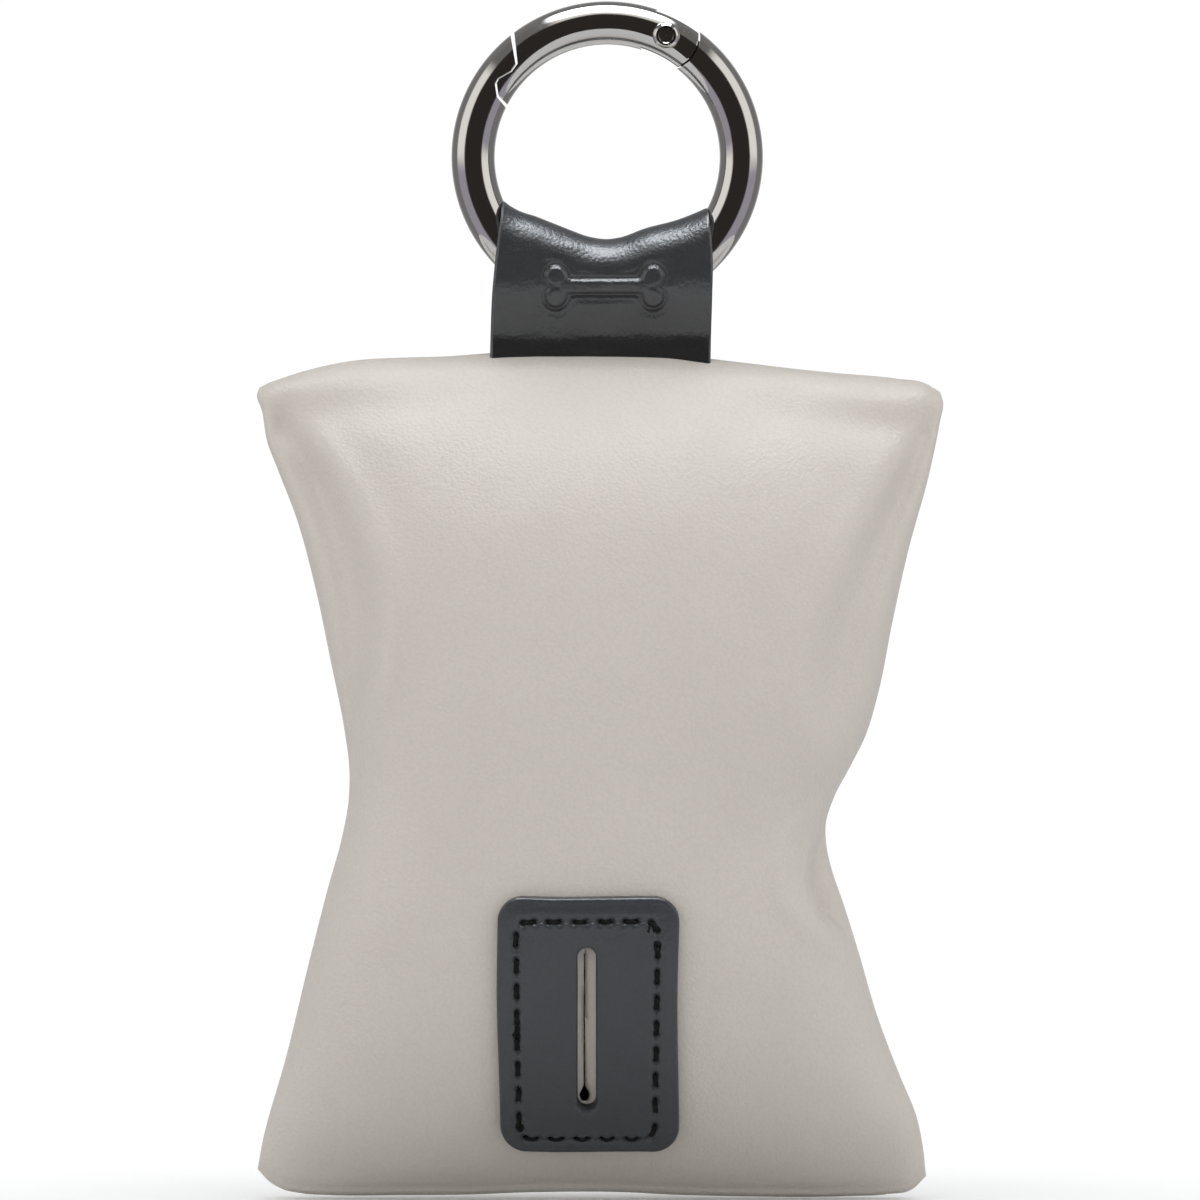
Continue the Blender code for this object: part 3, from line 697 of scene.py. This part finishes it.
def make_patch_stitches():
    top = PATCH_LIFT + 1.18
    last = None
    for i, (start, end) in enumerate(zip(*patch_stitches())):
        sway = 0.12 * math.sin(7.3 * i)
        last = stitch(f"patch_stitch_{i + 1}", start + (sway, 0), end - (sway, 0), 0.29, top)
    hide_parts("patch_thread")
    for i, (x, z, turn) in enumerate(KNOTS):
        a = np.linspace(0, 3.5 * math.pi, 26)
        size = np.linspace(0.5, 0.3, 26)
        x_all = x + size * 0.7 * np.cos(a + turn)
        z_all = z + size * np.sin(a + turn) + 0.15 * np.sin(2 * a)
        path = on_skin(x_all, z_all, top + 0.1 + 0.1 * np.cos(2.2 * a))
        stands_for(tube(f"patch_knot_{i + 1}", path, 0.2, THREAD, "pouch", sides=7), "black_thread")


# ---- strap ----

STRAP_FOOT = 86.0
STRAP_HALF = 4.0
STRAP_WIDTH = 24.5
EDGE_ROUND = 0.3
STRAP_LEFT = [(86, -12.3), (94, -12.2), (100, -11.95), (104.5, -11.55), (107, -11.25), (110.9, -10.75)]
STRAP_RIGHT = [(86, 12.3), (94, 12.3), (100, 12.45), (104, 12.5), (107, 12.3), (110.4, 11.9)]
# the top of the loop, from the left edge to the right
STRAP_CREST = [(0, 110.6), (0.03, 110.1), (0.07, 109.6), (0.17, 108.8), (0.34, 107.3), (0.44, 106.5),
               (0.5, 106.3), (0.57, 106.5), (0.68, 107.35), (0.85, 108.5), (0.95, 109.3), (1, 109.8)]


BONE_X, BONE_Z = 0.5, 100.9


def bone(x, z):
    """Distance outside a plain bone outline on the strap's front."""
    x, z = np.abs(x - BONE_X), np.abs(z - BONE_Z)
    shaft = np.hypot(np.maximum(x - 4.4, 0), z) - 0.95
    lobes = np.hypot(x - 5.4, z - 1.15) - 1.35
    near = np.minimum(shaft, lobes)
    blend = np.clip(0.5 + 0.5 * (lobes - shaft) / 0.5, 0, 1)
    return near - 0.5 * blend * (1 - blend)


def strap_line(u):
    """The strap's outside from the front foot, over the ring and down the back, for each u across."""
    crest = curve(STRAP_CREST, u)
    shoulder = crest - STRAP_HALF
    down = np.concatenate([np.linspace(0, 0.4, 10)[:-1], np.linspace(0.4, 1, 90)[:-1]])
    arch = np.linspace(0, np.pi, 40)
    rest = np.concatenate([np.linspace(1, 0.45, 16)[1:], np.linspace(0.45, 0, 8)[1:]])
    rows = []
    for part, values in (("front", down), ("arch", arch), ("back", rest)):
        for value in values:
            if part == "arch":
                rows.append((-STRAP_HALF * np.cos(value) + 0 * u, shoulder + STRAP_HALF * np.sin(value)))
                continue
            z = STRAP_FOOT + value * (shoulder - STRAP_FOOT)
            half = 1.32 + (STRAP_HALF - 1.32) * step01((z - 94.6) / 7.6)
            rows.append((half if part == "back" else -half, z))
    return np.array([[np.broadcast_to(y, u.shape), z] for y, z in rows])


def make_strap():
    """A strip folded over the ring: an oblong section carried along the loop, with the bone pressed in."""
    edge = EDGE_ROUND / STRAP_WIDTH
    fine = np.linspace(edge, 1 - edge, 190)
    coarse = np.linspace(1 - edge, edge, 40)
    u = np.concatenate([[0, edge * 0.3], fine, [1 - edge * 0.3, 1, 1, 1, 1 - edge * 0.3], coarse,
                        [edge * 0.3, 0, 0]])
    deep = np.concatenate([[0.3, 0.09], 0 * fine, [0.09, 0.3, 0.62, 0.95, 1.16], 0 * coarse + 1.25,
                           [1.16, 0.95, 0.62]])
    line = strap_line(u)
    y, z = line[:, 0], line[:, 1]
    dy, dz = np.gradient(y, axis=0), np.gradient(z, axis=0)
    length = np.hypot(dy, dz)
    out_y, out_z = -dz / length, dy / length
    x = curve(STRAP_LEFT, z) + u * (curve(STRAP_RIGHT, z) - curve(STRAP_LEFT, z))
    thin = 1 - 0.55 * step01((z - 107.5) / 2.5)
    lift = -deep * thin + 0 * y
    outer = deep < 0.05
    mark = bone(x, z)
    pressed = 0.3 * bump(mark, 0.24) - 0.1 * step01((-mark - 0.2) / 0.4) + 0.12 * bump(mark - 0.5, 0.35)
    lift = lift - outer * (y < 0) * pressed * step01((104.6 - z) / 1.0)
    lift = lift + outer * 0.06 * ripple(x * 0.3, z, 1.1, 2.0) + 0.05 * ripple(x, z, 4, 8.0)
    y, z = y + lift * out_y, z + lift * out_z
    strap = loft("strap_leather", np.stack([x, y, z], -1), [STRAP_BLACK, RAW_EDGE])
    count = len(u)
    side = np.zeros(len(strap.data.polygons), int)
    columns = np.arange((len(line) - 1) * count) % count
    side[:len(columns)] = (deep[columns] > 0.05) & (deep[columns] < 1.2)
    strap.data.polygons.foreach_set("material_index", side)
    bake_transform(strap)
    stands_for(strap, "black_leather", "strap_loop", "strap_tail")


# ---- ring ----

RING = joint_point("ring_turn")
PIVOT = joint_point("gate_open")
WIRE_R = 2.4
RING_R = float(np.hypot(PIVOT[0] - RING[0], PIVOT[2] - RING[2]))
PIVOT_DEG = math.degrees(math.atan2(PIVOT[2] - RING[2], PIVOT[0] - RING[0]))
TAIL_R = 3.6
LATCH_GAP = 0.2
PIN_HOLE_R = 1.0
TONGUE_HALF, FORK_HALF = 0.8, 1.05


def ring_point(radius, degrees):
    a = math.radians(degrees)
    return RING[0] + radius * math.cos(a), RING[2] + radius * math.sin(a)


def about_pivot(radius, start, end, count):
    angles = np.radians(np.linspace(start, end, count + 1))
    return [(PIVOT[0] + radius * math.cos(a), PIVOT[2] + radius * math.sin(a)) for a in angles]


def ring_arc(radius, start, end, count):
    return [ring_point(radius, a) for a in np.linspace(start, end, count + 1)]


def gate_outline(gap):
    """The gate seen from the front, larger by gap all round: for the gate itself, or for its room."""
    reach = TAIL_R + gap
    outside, inside = RING_R + reach, RING_R - reach
    latch = [(outside, 124.5 + 8 * gap), (RING_R - 0.6 + gap, 134 + 3 * gap), (RING_R - 0.75 + gap, 138.5),
             (RING_R - 0.15 + gap, 144.5), (RING_R - 0.2 + gap, 146.5 + 2 * gap),
             (RING_R - 1, 150.3 + 7 * gap), (inside, 154.5 + 14 * gap)]
    tail = about_pivot(reach, PIVOT_DEG - 180, PIVOT_DEG, 40)[1:-1]
    return ([ring_point(r, a) for r, a in latch] + ring_arc(inside, 150, PIVOT_DEG, 20) + tail
            + ring_arc(outside, PIVOT_DEG, 122, 16))


def prism(name, outline, y, mats=()):
    """An outline of (x, z) points drawn through y."""
    near = [(x, y[0], z) for x, z in outline]
    far = [(x, y[1], z) for x, z in outline]
    return loft(name, [near, far], list(mats), smooth=False)


def wire(name, start, end, segments, around, mats=()):
    full = abs(end - start) >= 360
    degrees = np.linspace(start, end, segments + 1)[:segments if full else None]
    b = 2 * np.pi * np.arange(around) / around
    rings = []
    for angle in degrees:
        r = RING_R + WIRE_R * np.cos(b)
        a = math.radians(angle)
        rings.append(np.stack([RING[0] + r * math.cos(a), WIRE_R * np.sin(b), RING[2] + r * math.sin(a)], -1))
    return loft(name, rings, list(mats), closed=full)


def soften(made, width, degrees=35):
    """Rounds the hard edges that cuts leave."""
    edge = made.modifiers.new("edge", "BEVEL")
    edge.width, edge.segments, edge.limit_method = width * MM, 3, "ANGLE"
    edge.angle_limit = math.radians(degrees)
    edge.use_clamp_overlap = True
    applied(made)
    sharpen(made.data, degrees)


def make_ring():
    body = wire("ring_metal", 0, 360, 220, 40, [RING_METAL])
    combine(body, prism("room", gate_outline(LATCH_GAP), (-4, 4)), "DIFFERENCE")
    tongue = about_pivot(2.0, PIVOT_DEG - 20, PIVOT_DEG + 200, 24)
    tongue += [ring_point(RING_R - 1.6, PIVOT_DEG - 22), ring_point(RING_R + 1.6, PIVOT_DEG - 22)]
    combine(body, prism("tongue", tongue, (-TONGUE_HALF, TONGUE_HALF)), "UNION")
    finish_ring_part(body, "ring", "ring_body")

    gate = wire("gate_metal", PIVOT_DEG - 30, 166, 110, 40, [RING_METAL])
    combine(gate, prism("keep", gate_outline(0), (-4, 4)), "INTERSECT")
    fork = about_pivot(3.1, PIVOT_DEG + 10, PIVOT_DEG + 170, 24)
    fork += about_pivot(9, PIVOT_DEG + 180, PIVOT_DEG + 360, 16)
    combine(gate, prism("fork", fork, (-FORK_HALF, FORK_HALF)), "DIFFERENCE")
    finish_ring_part(gate, "gate", "ring_gate")


def finish_ring_part(made, body, cad_node):
    """Drills the pin's hole, rounds the edges and puts the part on its body."""
    combine(made, prism("hole", about_pivot(PIN_HOLE_R, 0, 348, 29), (-4, 4)), "DIFFERENCE")
    soften(made, 0.2)
    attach(made, body)
    stands_for(made, "gunmetal", cad_node)


def make_rivet():
    """A pin with a round rim and a sunk middle at each end, turned about its own length."""
    reach = WIRE_R + 0.02
    half = [(0.9, 0), (0.9, reach - 0.1), (1.5, reach - 0.1), (1.5, reach + 0.03), (1.36, reach + 0.22),
            (1.12, reach + 0.42), (0.92, reach + 0.22), (0.8, reach + 0.02), (0.5, reach - 0.02),
            (0.16, reach - 0.02)]
    profile = [(r, -y) for r, y in reversed(half[1:])] + half[1:]
    a = 2 * np.pi * np.arange(40) / 40
    rings = [np.stack([PIVOT[0] + r * np.cos(a), y + 0 * a, PIVOT[2] + r * np.sin(a)], -1)
             for r, y in profile]
    rivet = loft("rivet", rings, RING_METAL, "ring")
    sharpen(rivet.data, 50)
    stands_for(rivet, "gunmetal", "gate_rivet")


# ---- zip ----

TAPE_LOW, TAPE_HIGH = cad_box("zip_tape_right")
COIL_LOW, COIL_HIGH = cad_box("zip_coil_right")
SLIDER_LOW, SLIDER_HIGH = cad_box("zip_slider")
PIN = joint_point("puller_swing")
TAPE_Y = TAPE_HIGH[1]
COIL_Y = COIL_HIGH[1]
SLIDER_Z = (SLIDER_LOW[2] + SLIDER_HIGH[2]) / 2


def make_tapes():
    for side, word in ((-1, "left"), (1, "right")):
        across = np.array([0.35, 0.4, 0.6, 0.9, 1.3, 1.7, 1.9, 2.1, 2.4, 2.6, 3, 3.5, 4, 4.6, 5.2, 6, 7, 8,
                           8.3, 8.4])
        bead = 0.16 * bump(across - 2.0, 0.35) + 0.05 * bump(across - 4.0, 0.3)
        up = np.linspace(TAPE_LOW[2], TAPE_HIGH[2], 120)
        xx, zz = np.meshgrid(across, up)
        top = TAPE_Y - 0.05 + bead + 0.06 * np.sin(zz * 4.3) * (np.abs(xx - 2) < 0.6)
        top = top + 0.1 * ripple(xx, zz, 9, side * 3.0) * step01((xx - 2.6) / 2)
        skin = back_depth(side * xx, zz, *unplace(side * xx, zz)) - LEATHER_T - 0.25
        within = np.minimum(ZIP_HALF - xx, np.minimum(zz - ZIP_LOW, ZIP_HIGH - zz))
        top = np.minimum(top, skin + 3 * step01((within + 0.4) / 1.2))
        upper, under = (np.stack([side * xx, y, zz], -1) for y in (top, top - TAPE_T))
        rings = np.concatenate([upper, under[:, ::-1]], axis=1)
        tape = loft(f"tape_{word}", rings, TAPE, "pouch")
        sharpen(tape.data, 50)
        stands_for(tape, "zip_tape", f"zip_tape_{word}")


def make_coils():
    """Two nylon coils whose loops lie between one another's, with a cord of stitches down each."""
    pitch, low, high = 1.3, COIL_LOW[2], COIL_HIGH[2]
    turns = int((high - low) / pitch) - 1
    for side, word in ((-1, "left"), (1, "right")):
        a = np.linspace(0, 2 * np.pi * turns, turns * 16 + 1)
        turn, part = np.divmod(a / (2 * np.pi), 1)
        climb = turn + step01(2 * part - 1)
        z = low + 0.5 + (0.65 if side > 0 else 0) + pitch * climb
        x = side * (0.82 - 1.22 * np.cos(a))
        y = TAPE_Y + 0.9 + 0.5 * np.sin(a)
        coil = tube(f"coil_{word}", np.stack([x, y, z], -1), 0.27, NYLON, "pouch", sides=8)
        stands_for(coil, "zip_nylon", f"zip_coil_{word}")
        z = np.arange(low + 0.4, high, 0.25)
        x = side * (1.62 + 0.1 * np.sin(z * 4.8))
        y = TAPE_Y + 1.42 + 0.06 * np.sin(z * 9.7)
        cord = np.stack([x, y, z], -1)
        stands_for(tube(f"coil_cord_{word}", cord, 0.16, THREAD, "pouch", sides=6), "black_thread")


def stop(name, x, z, radius, cad_node):
    """Metal wire bent over the coil as a stop."""
    low, high = TAPE_Y + 0.15, COIL_Y + 0.05
    path = [(x[0], low, z), (x[0], high - 0.35, z), (x[0] + 0.3, high, z), (x[1] - 0.3, high, z),
            (x[1], high - 0.35, z), (x[1], low, z)]
    stands_for(tube(name, refine(path, 5), radius, ZIP_METAL, "pouch", sides=12), "zip_metal", cad_node)


def make_stops():
    top, bottom = COIL_HIGH[2] + 4.9, COIL_LOW[2] - 1.1
    stop("stop_top_left", (-2.5, -1.1), top, 0.42, "zip_top_stop_left")
    stop("stop_top_right", (1.1, 2.5), top, 0.42, "zip_top_stop_right")
    stop("stop_bottom", (-2.3, 2.3), bottom, 0.6, "zip_bottom_stop")


def refine(path, count):
    """A smooth path through points, with count steps between each two."""
    path = np.asarray(path, float)
    at = np.linspace(0, len(path) - 1, count * (len(path) - 1) + 1)
    return np.stack([curve(list(zip(range(len(path)), path[:, k])), at) for k in range(3)], -1)


def make_zip_stitches():
    for side, word in ((-1, "left"), (1, "right")):
        made = None
        for i, z in enumerate(np.arange(ZIP_LOW - 0.6, ZIP_HIGH, 2.7)):
            sway = 0.06 * math.sin(5.1 * i + side)
            made = stitch(f"zip_stitch_{word}_{i + 1}", (side * ZIP_STITCH_X + sway, z),
                          (side * ZIP_STITCH_X - sway, z + 2.0), 0.23, 0.06, front=False)
        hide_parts(f"zip_thread_{word}")
    for word, z in (("low", ZIP_LOW - 1.6), ("high", ZIP_HIGH + 1.6)):
        for i, x in enumerate(np.arange(-5.4, 4.5, 2.6)):
            stitch(f"zip_stitch_{word}_{i + 1}", (x, z), (x + 1.9, z), 0.23, 0.06, front=False)


def plate(name, outline, y, width):
    """A flat piece of zip metal, its edges rounded by width."""
    made = prism(name, outline, y, (ZIP_METAL,))
    soften(made, width)
    return made


def shield(scale):
    """A slider plate: broad shoulders above, narrower where the closed coil leaves it."""
    half = [(2.1, -3.75), (2.45, -3.2), (2.5, -1.4), (2.75, -0.2), (3.3, 0.8), (3.4, 1.7), (3.25, 2.6),
            (2.7, 3.3), (1.9, 3.7)]
    return [(scale * x, SLIDER_Z + scale * z) for x, z in half + [(-x, z) for x, z in reversed(half)]]


def make_slider():
    upper = COIL_Y + 0.35
    lower = SLIDER_LOW[1]
    body = plate("slider_metal", shield(1.0), (upper, upper + 0.9), 0.28)
    for name, outline, y in (("under", shield(0.99), (lower, lower + 0.85)),
                             ("raised", shield(0.62), (upper + 0.7, upper + 1.12))):
        combine(body, plate(name, outline, y, 0.22), "UNION")
    wedge = [(-0.45, 0.9), (0.45, 0.9), (0.75, 2.2), (0.6, 3.0), (-0.6, 3.0), (-0.75, 2.2)]
    wedge = [(x, SLIDER_Z + z) for x, z in wedge]
    combine(body, prism("wedge", wedge, (lower + 0.4, upper + 0.3), (ZIP_METAL,)), "UNION")
    sharpen(body.data, 40)
    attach(body, "slider")
    stands_for(body, "zip_metal", "zip_slider")
    top = PIN[1] + 1.35
    path = [(0, upper + 0.5, PIN[2] - 1.75), (0, PIN[1] + 0.4, PIN[2] - 1.85), (0, top, PIN[2] - 1.1),
            (0, top + 0.12, PIN[2]), (0, top, PIN[2] + 1.1), (0, PIN[1] + 0.4, PIN[2] + 1.85),
            (0, upper + 0.5, PIN[2] + 1.75)]
    bridge = tube("slider_bridge", refine(path, 6), 0.46, ZIP_METAL, "slider", sides=14)
    bridge.data.transform(Matrix.Scale(1.9, 4, (1, 0, 0)))
    stands_for(bridge, "zip_metal")


def make_puller():
    length, wide = 19.0, 5.2
    top = PIN[2] + 0.5
    outline = round_box(wide, length, 1.3, 8, 4, 12)
    taper = 1 - 0.16 * step01((outline[:, 1] + 2) / 9)
    shaped = [(x * k, z + top - length / 2) for (x, z), k in zip(outline, taper)]
    puller = plate("puller_metal", shaped, (PIN[1] - 0.5, PIN[1] + 0.5), 0.22)
    window = round_box(2.5, 2.3, 0.5, 5, 3, 3) + (0, PIN[2] - 1.7)
    combine(puller, prism("window", window, (PIN[1] - 3, PIN[1] + 3)), "DIFFERENCE")
    panel = round_box(3.0, 11.4, 0.9, 6, 4, 10) + (0, top - length / 2 - 2.6)
    for y in ((PIN[1] + 0.32, PIN[1] + 2), (PIN[1] - 2, PIN[1] - 0.32)):
        combine(puller, prism("panel", panel, y), "DIFFERENCE")
    soften(puller, 0.1, 40)
    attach(puller, "puller")
    stands_for(puller, "zip_metal", "zip_puller")
    for i in range(4):
        z = top - length / 2 - 6.4 + 2.4 * i
        for side in (-1, 1):
            bar = tube(f"puller_bar_{i + 1}_{'back' if side > 0 else 'front'}",
                       [(x, PIN[1] + side * 0.34, z) for x in (-1.25, -0.6, 0, 0.6, 1.25)],
                       [0.12, 0.2, 0.22, 0.2, 0.12], ZIP_METAL, "puller", sides=8)
            stands_for(bar, "zip_metal")


# ---- bags ----

ROLL = joint_point("roll_spin")
ROLL_LOW, ROLL_HIGH = cad_box("bag_roll")


def about_roll(profile, a):
    """A profile of (radius, height) points, stood at one angle round the roll."""
    return [(ROLL[0] + r * math.cos(a), ROLL[1] + r * math.sin(a), h) for r, h in profile]


def make_roll():
    """Folded film wound on a card tube: the ends show the winding, and the outside is slack."""
    low, high = ROLL_LOW[2] + 0.3, ROLL_HIGH[2] - 0.3
    outer, inner = 12.15, 5.15
    rings = []
    for a in 2 * np.pi * np.arange(180) / 180:
        wound = a / (2 * np.pi)
        z = np.linspace(low, high, 60)[1:-1]
        slack = 0.16 * ripple(np.full_like(z, 14 * math.cos(a)), z + 30 * math.sin(a), 7, 6.0)
        side = outer + slack + 0.18 * (0.5 - wound) + 0.1 * np.sin(z * 0.55 + 3 * a)
        faces = np.linspace(outer - 0.15, inner, 64)
        coil = 0.22 * np.abs(np.sin(np.pi * (faces / 0.62 + wound))) + 0.25 * np.sin(faces * 1.3 + 2 * a) ** 2
        edge = [(r, high - 0.45 + c) for r, c in zip(faces, coil)]
        foot = [(r, low + 0.45 - c) for r, c in zip(faces[::-1], coil[::-1])]
        profile = list(zip(side, z)) + edge + foot
        rings.append(about_roll(profile, a))
    roll = loft("film_roll", rings, FILM, "roll", closed=True)
    stands_for(roll, "bag_film", "bag_roll")
    rings = []
    for a in 2 * np.pi * np.arange(72) / 72:
        z = np.linspace(low - 0.25, high + 0.25, 130)
        seam = np.abs((z / 16 + a / (2 * np.pi)) % 1 - 0.5) * 16
        side = 4.98 - 0.12 * bump(seam - 8, 0.35)
        profile = list(zip(side, z)) + [(4.8, high + 0.35), (4.2, high + 0.35), (4.1, high + 0.2)]
        profile += [(4.1, low - 0.2), (4.2, low - 0.35), (4.8, low - 0.35)]
        rings.append(about_roll(profile, a))
    core = loft("card_core", rings, CARD, "roll", closed=True)
    stands_for(core, "roll_card", "roll_core")


def dress_spring():
    """The gate's spring sits in its bore, as the CAD has it, and only gets its material."""
    spring = bpy.data.objects["gate_spring"]
    spring.data.materials.clear()
    spring.data.materials.append(ZIP_METAL)


# ---- stage, light and camera ----


def grey(value):
    return value, value, value


def make_stage():
    """A pale round floor that fades into the white behind."""
    mat, tree, shader, where = blank("floor")
    reach = node(tree, "VectorMath", {0: where}, operation="LENGTH").outputs["Value"]
    camera_ray = node(tree, "LightPath").outputs["Is Camera Ray"]
    fade = maths(tree, "MULTIPLY", camera_ray, ranged(tree, reach, 0.035, 0.11))
    glow = node(tree, "Emission", {"Color": (1, 1, 1, 1), "Strength": 1.02})
    tint = mix_colour(tree, camera_ray, grey(0.68), grey(0.86))
    tree.links.new(tint, shader.inputs["Base Color"])
    shader.inputs["Roughness"].default_value = 0.8
    mixed = node(tree, "MixShader", {0: fade, 1: shader.outputs[0], 2: glow.outputs[0]})
    tree.links.new(mixed.outputs[0], tree.nodes["Material Output"].inputs["Surface"])
    bm = bmesh.new()
    bmesh.ops.create_circle(bm, cap_ends=True, segments=96, radius=0.2)
    mesh = bpy.data.meshes.new("floor")
    bm.to_mesh(mesh)
    bm.free()
    mesh.materials.append(mat)
    floor = bpy.data.objects.new("floor", mesh)
    floor.location.z = -0.0003
    bpy.context.collection.objects.link(floor)


# dark gaps between the soft boxes, seen in the ring's wire: the middle's angle and half the width
BOX_GAPS = ((0.98, 0.12), (2.2, 0.2))


def make_light():
    """A white studio: mirrors see soft boxes, greyer below and dark round the camera, and matt surfaces
    get an even fill."""
    world = bpy.data.worlds.new("studio")
    world.use_nodes = True
    world.cycles.sampling_method = "NONE"
    tree = world.node_tree
    way = node(tree, "SeparateXYZ", {"Vector": node(tree, "TexCoord").outputs["Generated"]})
    x, y, z = way.outputs
    upper = ranged(tree, z, -0.08, 0.08)
    wall = mix_colour(tree, upper, (0.42, 0.4, 0.46), (1.1, 1.08, 1.04))
    turn = maths(tree, "ARCTAN2", z, x)
    clear = 1.0
    for middle, half in BOX_GAPS:
        off = maths(tree, "ABSOLUTE", maths(tree, "SUBTRACT", turn, middle), 0.0)
        clear = maths(tree, "MULTIPLY", clear, ranged(tree, off, half, half + 0.12))
    wall = mix_colour(tree, clear, (0.2, 0.195, 0.19), wall)
    behind = ranged(tree, y, -0.05, 0.15)
    backdrop = mix_colour(tree, ranged(tree, y, 0.7, 0.95), grey(0.24), grey(0.5))
    wall = mix_colour(tree, behind, wall, backdrop)
    overhead = maths(tree, "MULTIPLY", ranged(tree, z, 0.82, 0.94), ranged(tree, y, 0.12, 0.3, 10.0, 0.0))
    overhead = maths(tree, "MULTIPLY", overhead, clear)
    ceiling = mix_colour(tree, overhead, (0, 0, 0), (0.93, 0.985, 1.04))
    around = node(tree, "VectorMath", {0: wall, 1: ceiling}, operation="ADD").outputs[0]
    camera_side = ranged(tree, y, -0.74, -0.62)
    mirrored = mix_colour(tree, camera_side, (0.035, 0.03, 0.028), around)
    low_fill = mix_colour(tree, ranged(tree, z, -1.0, 0.1), grey(0.84), grey(1.05))
    fill = mix_colour(tree, ranged(tree, z, 0.0, 1.0), low_fill, (1.12, 1.13, 1.14))
    rays = node(tree, "LightPath")
    lit = mix_colour(tree, rays.outputs["Is Diffuse Ray"], mirrored, fill)
    seen = mix_colour(tree, rays.outputs["Is Camera Ray"], lit, grey(1.02))
    tree.links.new(seen, tree.nodes["Background"].inputs["Color"])
    bpy.context.scene.world = world
    bpy.context.scene.view_settings.view_transform = "Standard"


def make_camera():
    """Straight on, from far enough away that the pouch's depth hardly shows."""
    width_m, distance = 133.3 * MM, 1.3
    data = bpy.data.cameras.new("camera")
    data.sensor_width = 36
    data.lens = data.sensor_width * distance / width_m
    data.clip_end = 20
    camera = bpy.data.objects.new("camera", data)
    camera.location = (0, SEAM_Y * MM - distance, 66.2 * MM)
    camera.rotation_euler = (math.pi / 2, 0, 0)
    bpy.context.collection.objects.link(camera)
    bpy.context.scene.camera = camera


for build in (make_pouch, make_patch, make_patch_stitches, make_strap, make_ring, make_rivet, make_tapes,
              make_coils, make_stops, make_zip_stitches, make_slider, make_puller, make_roll, dress_spring,
              make_stage, make_light, make_camera):
    build()
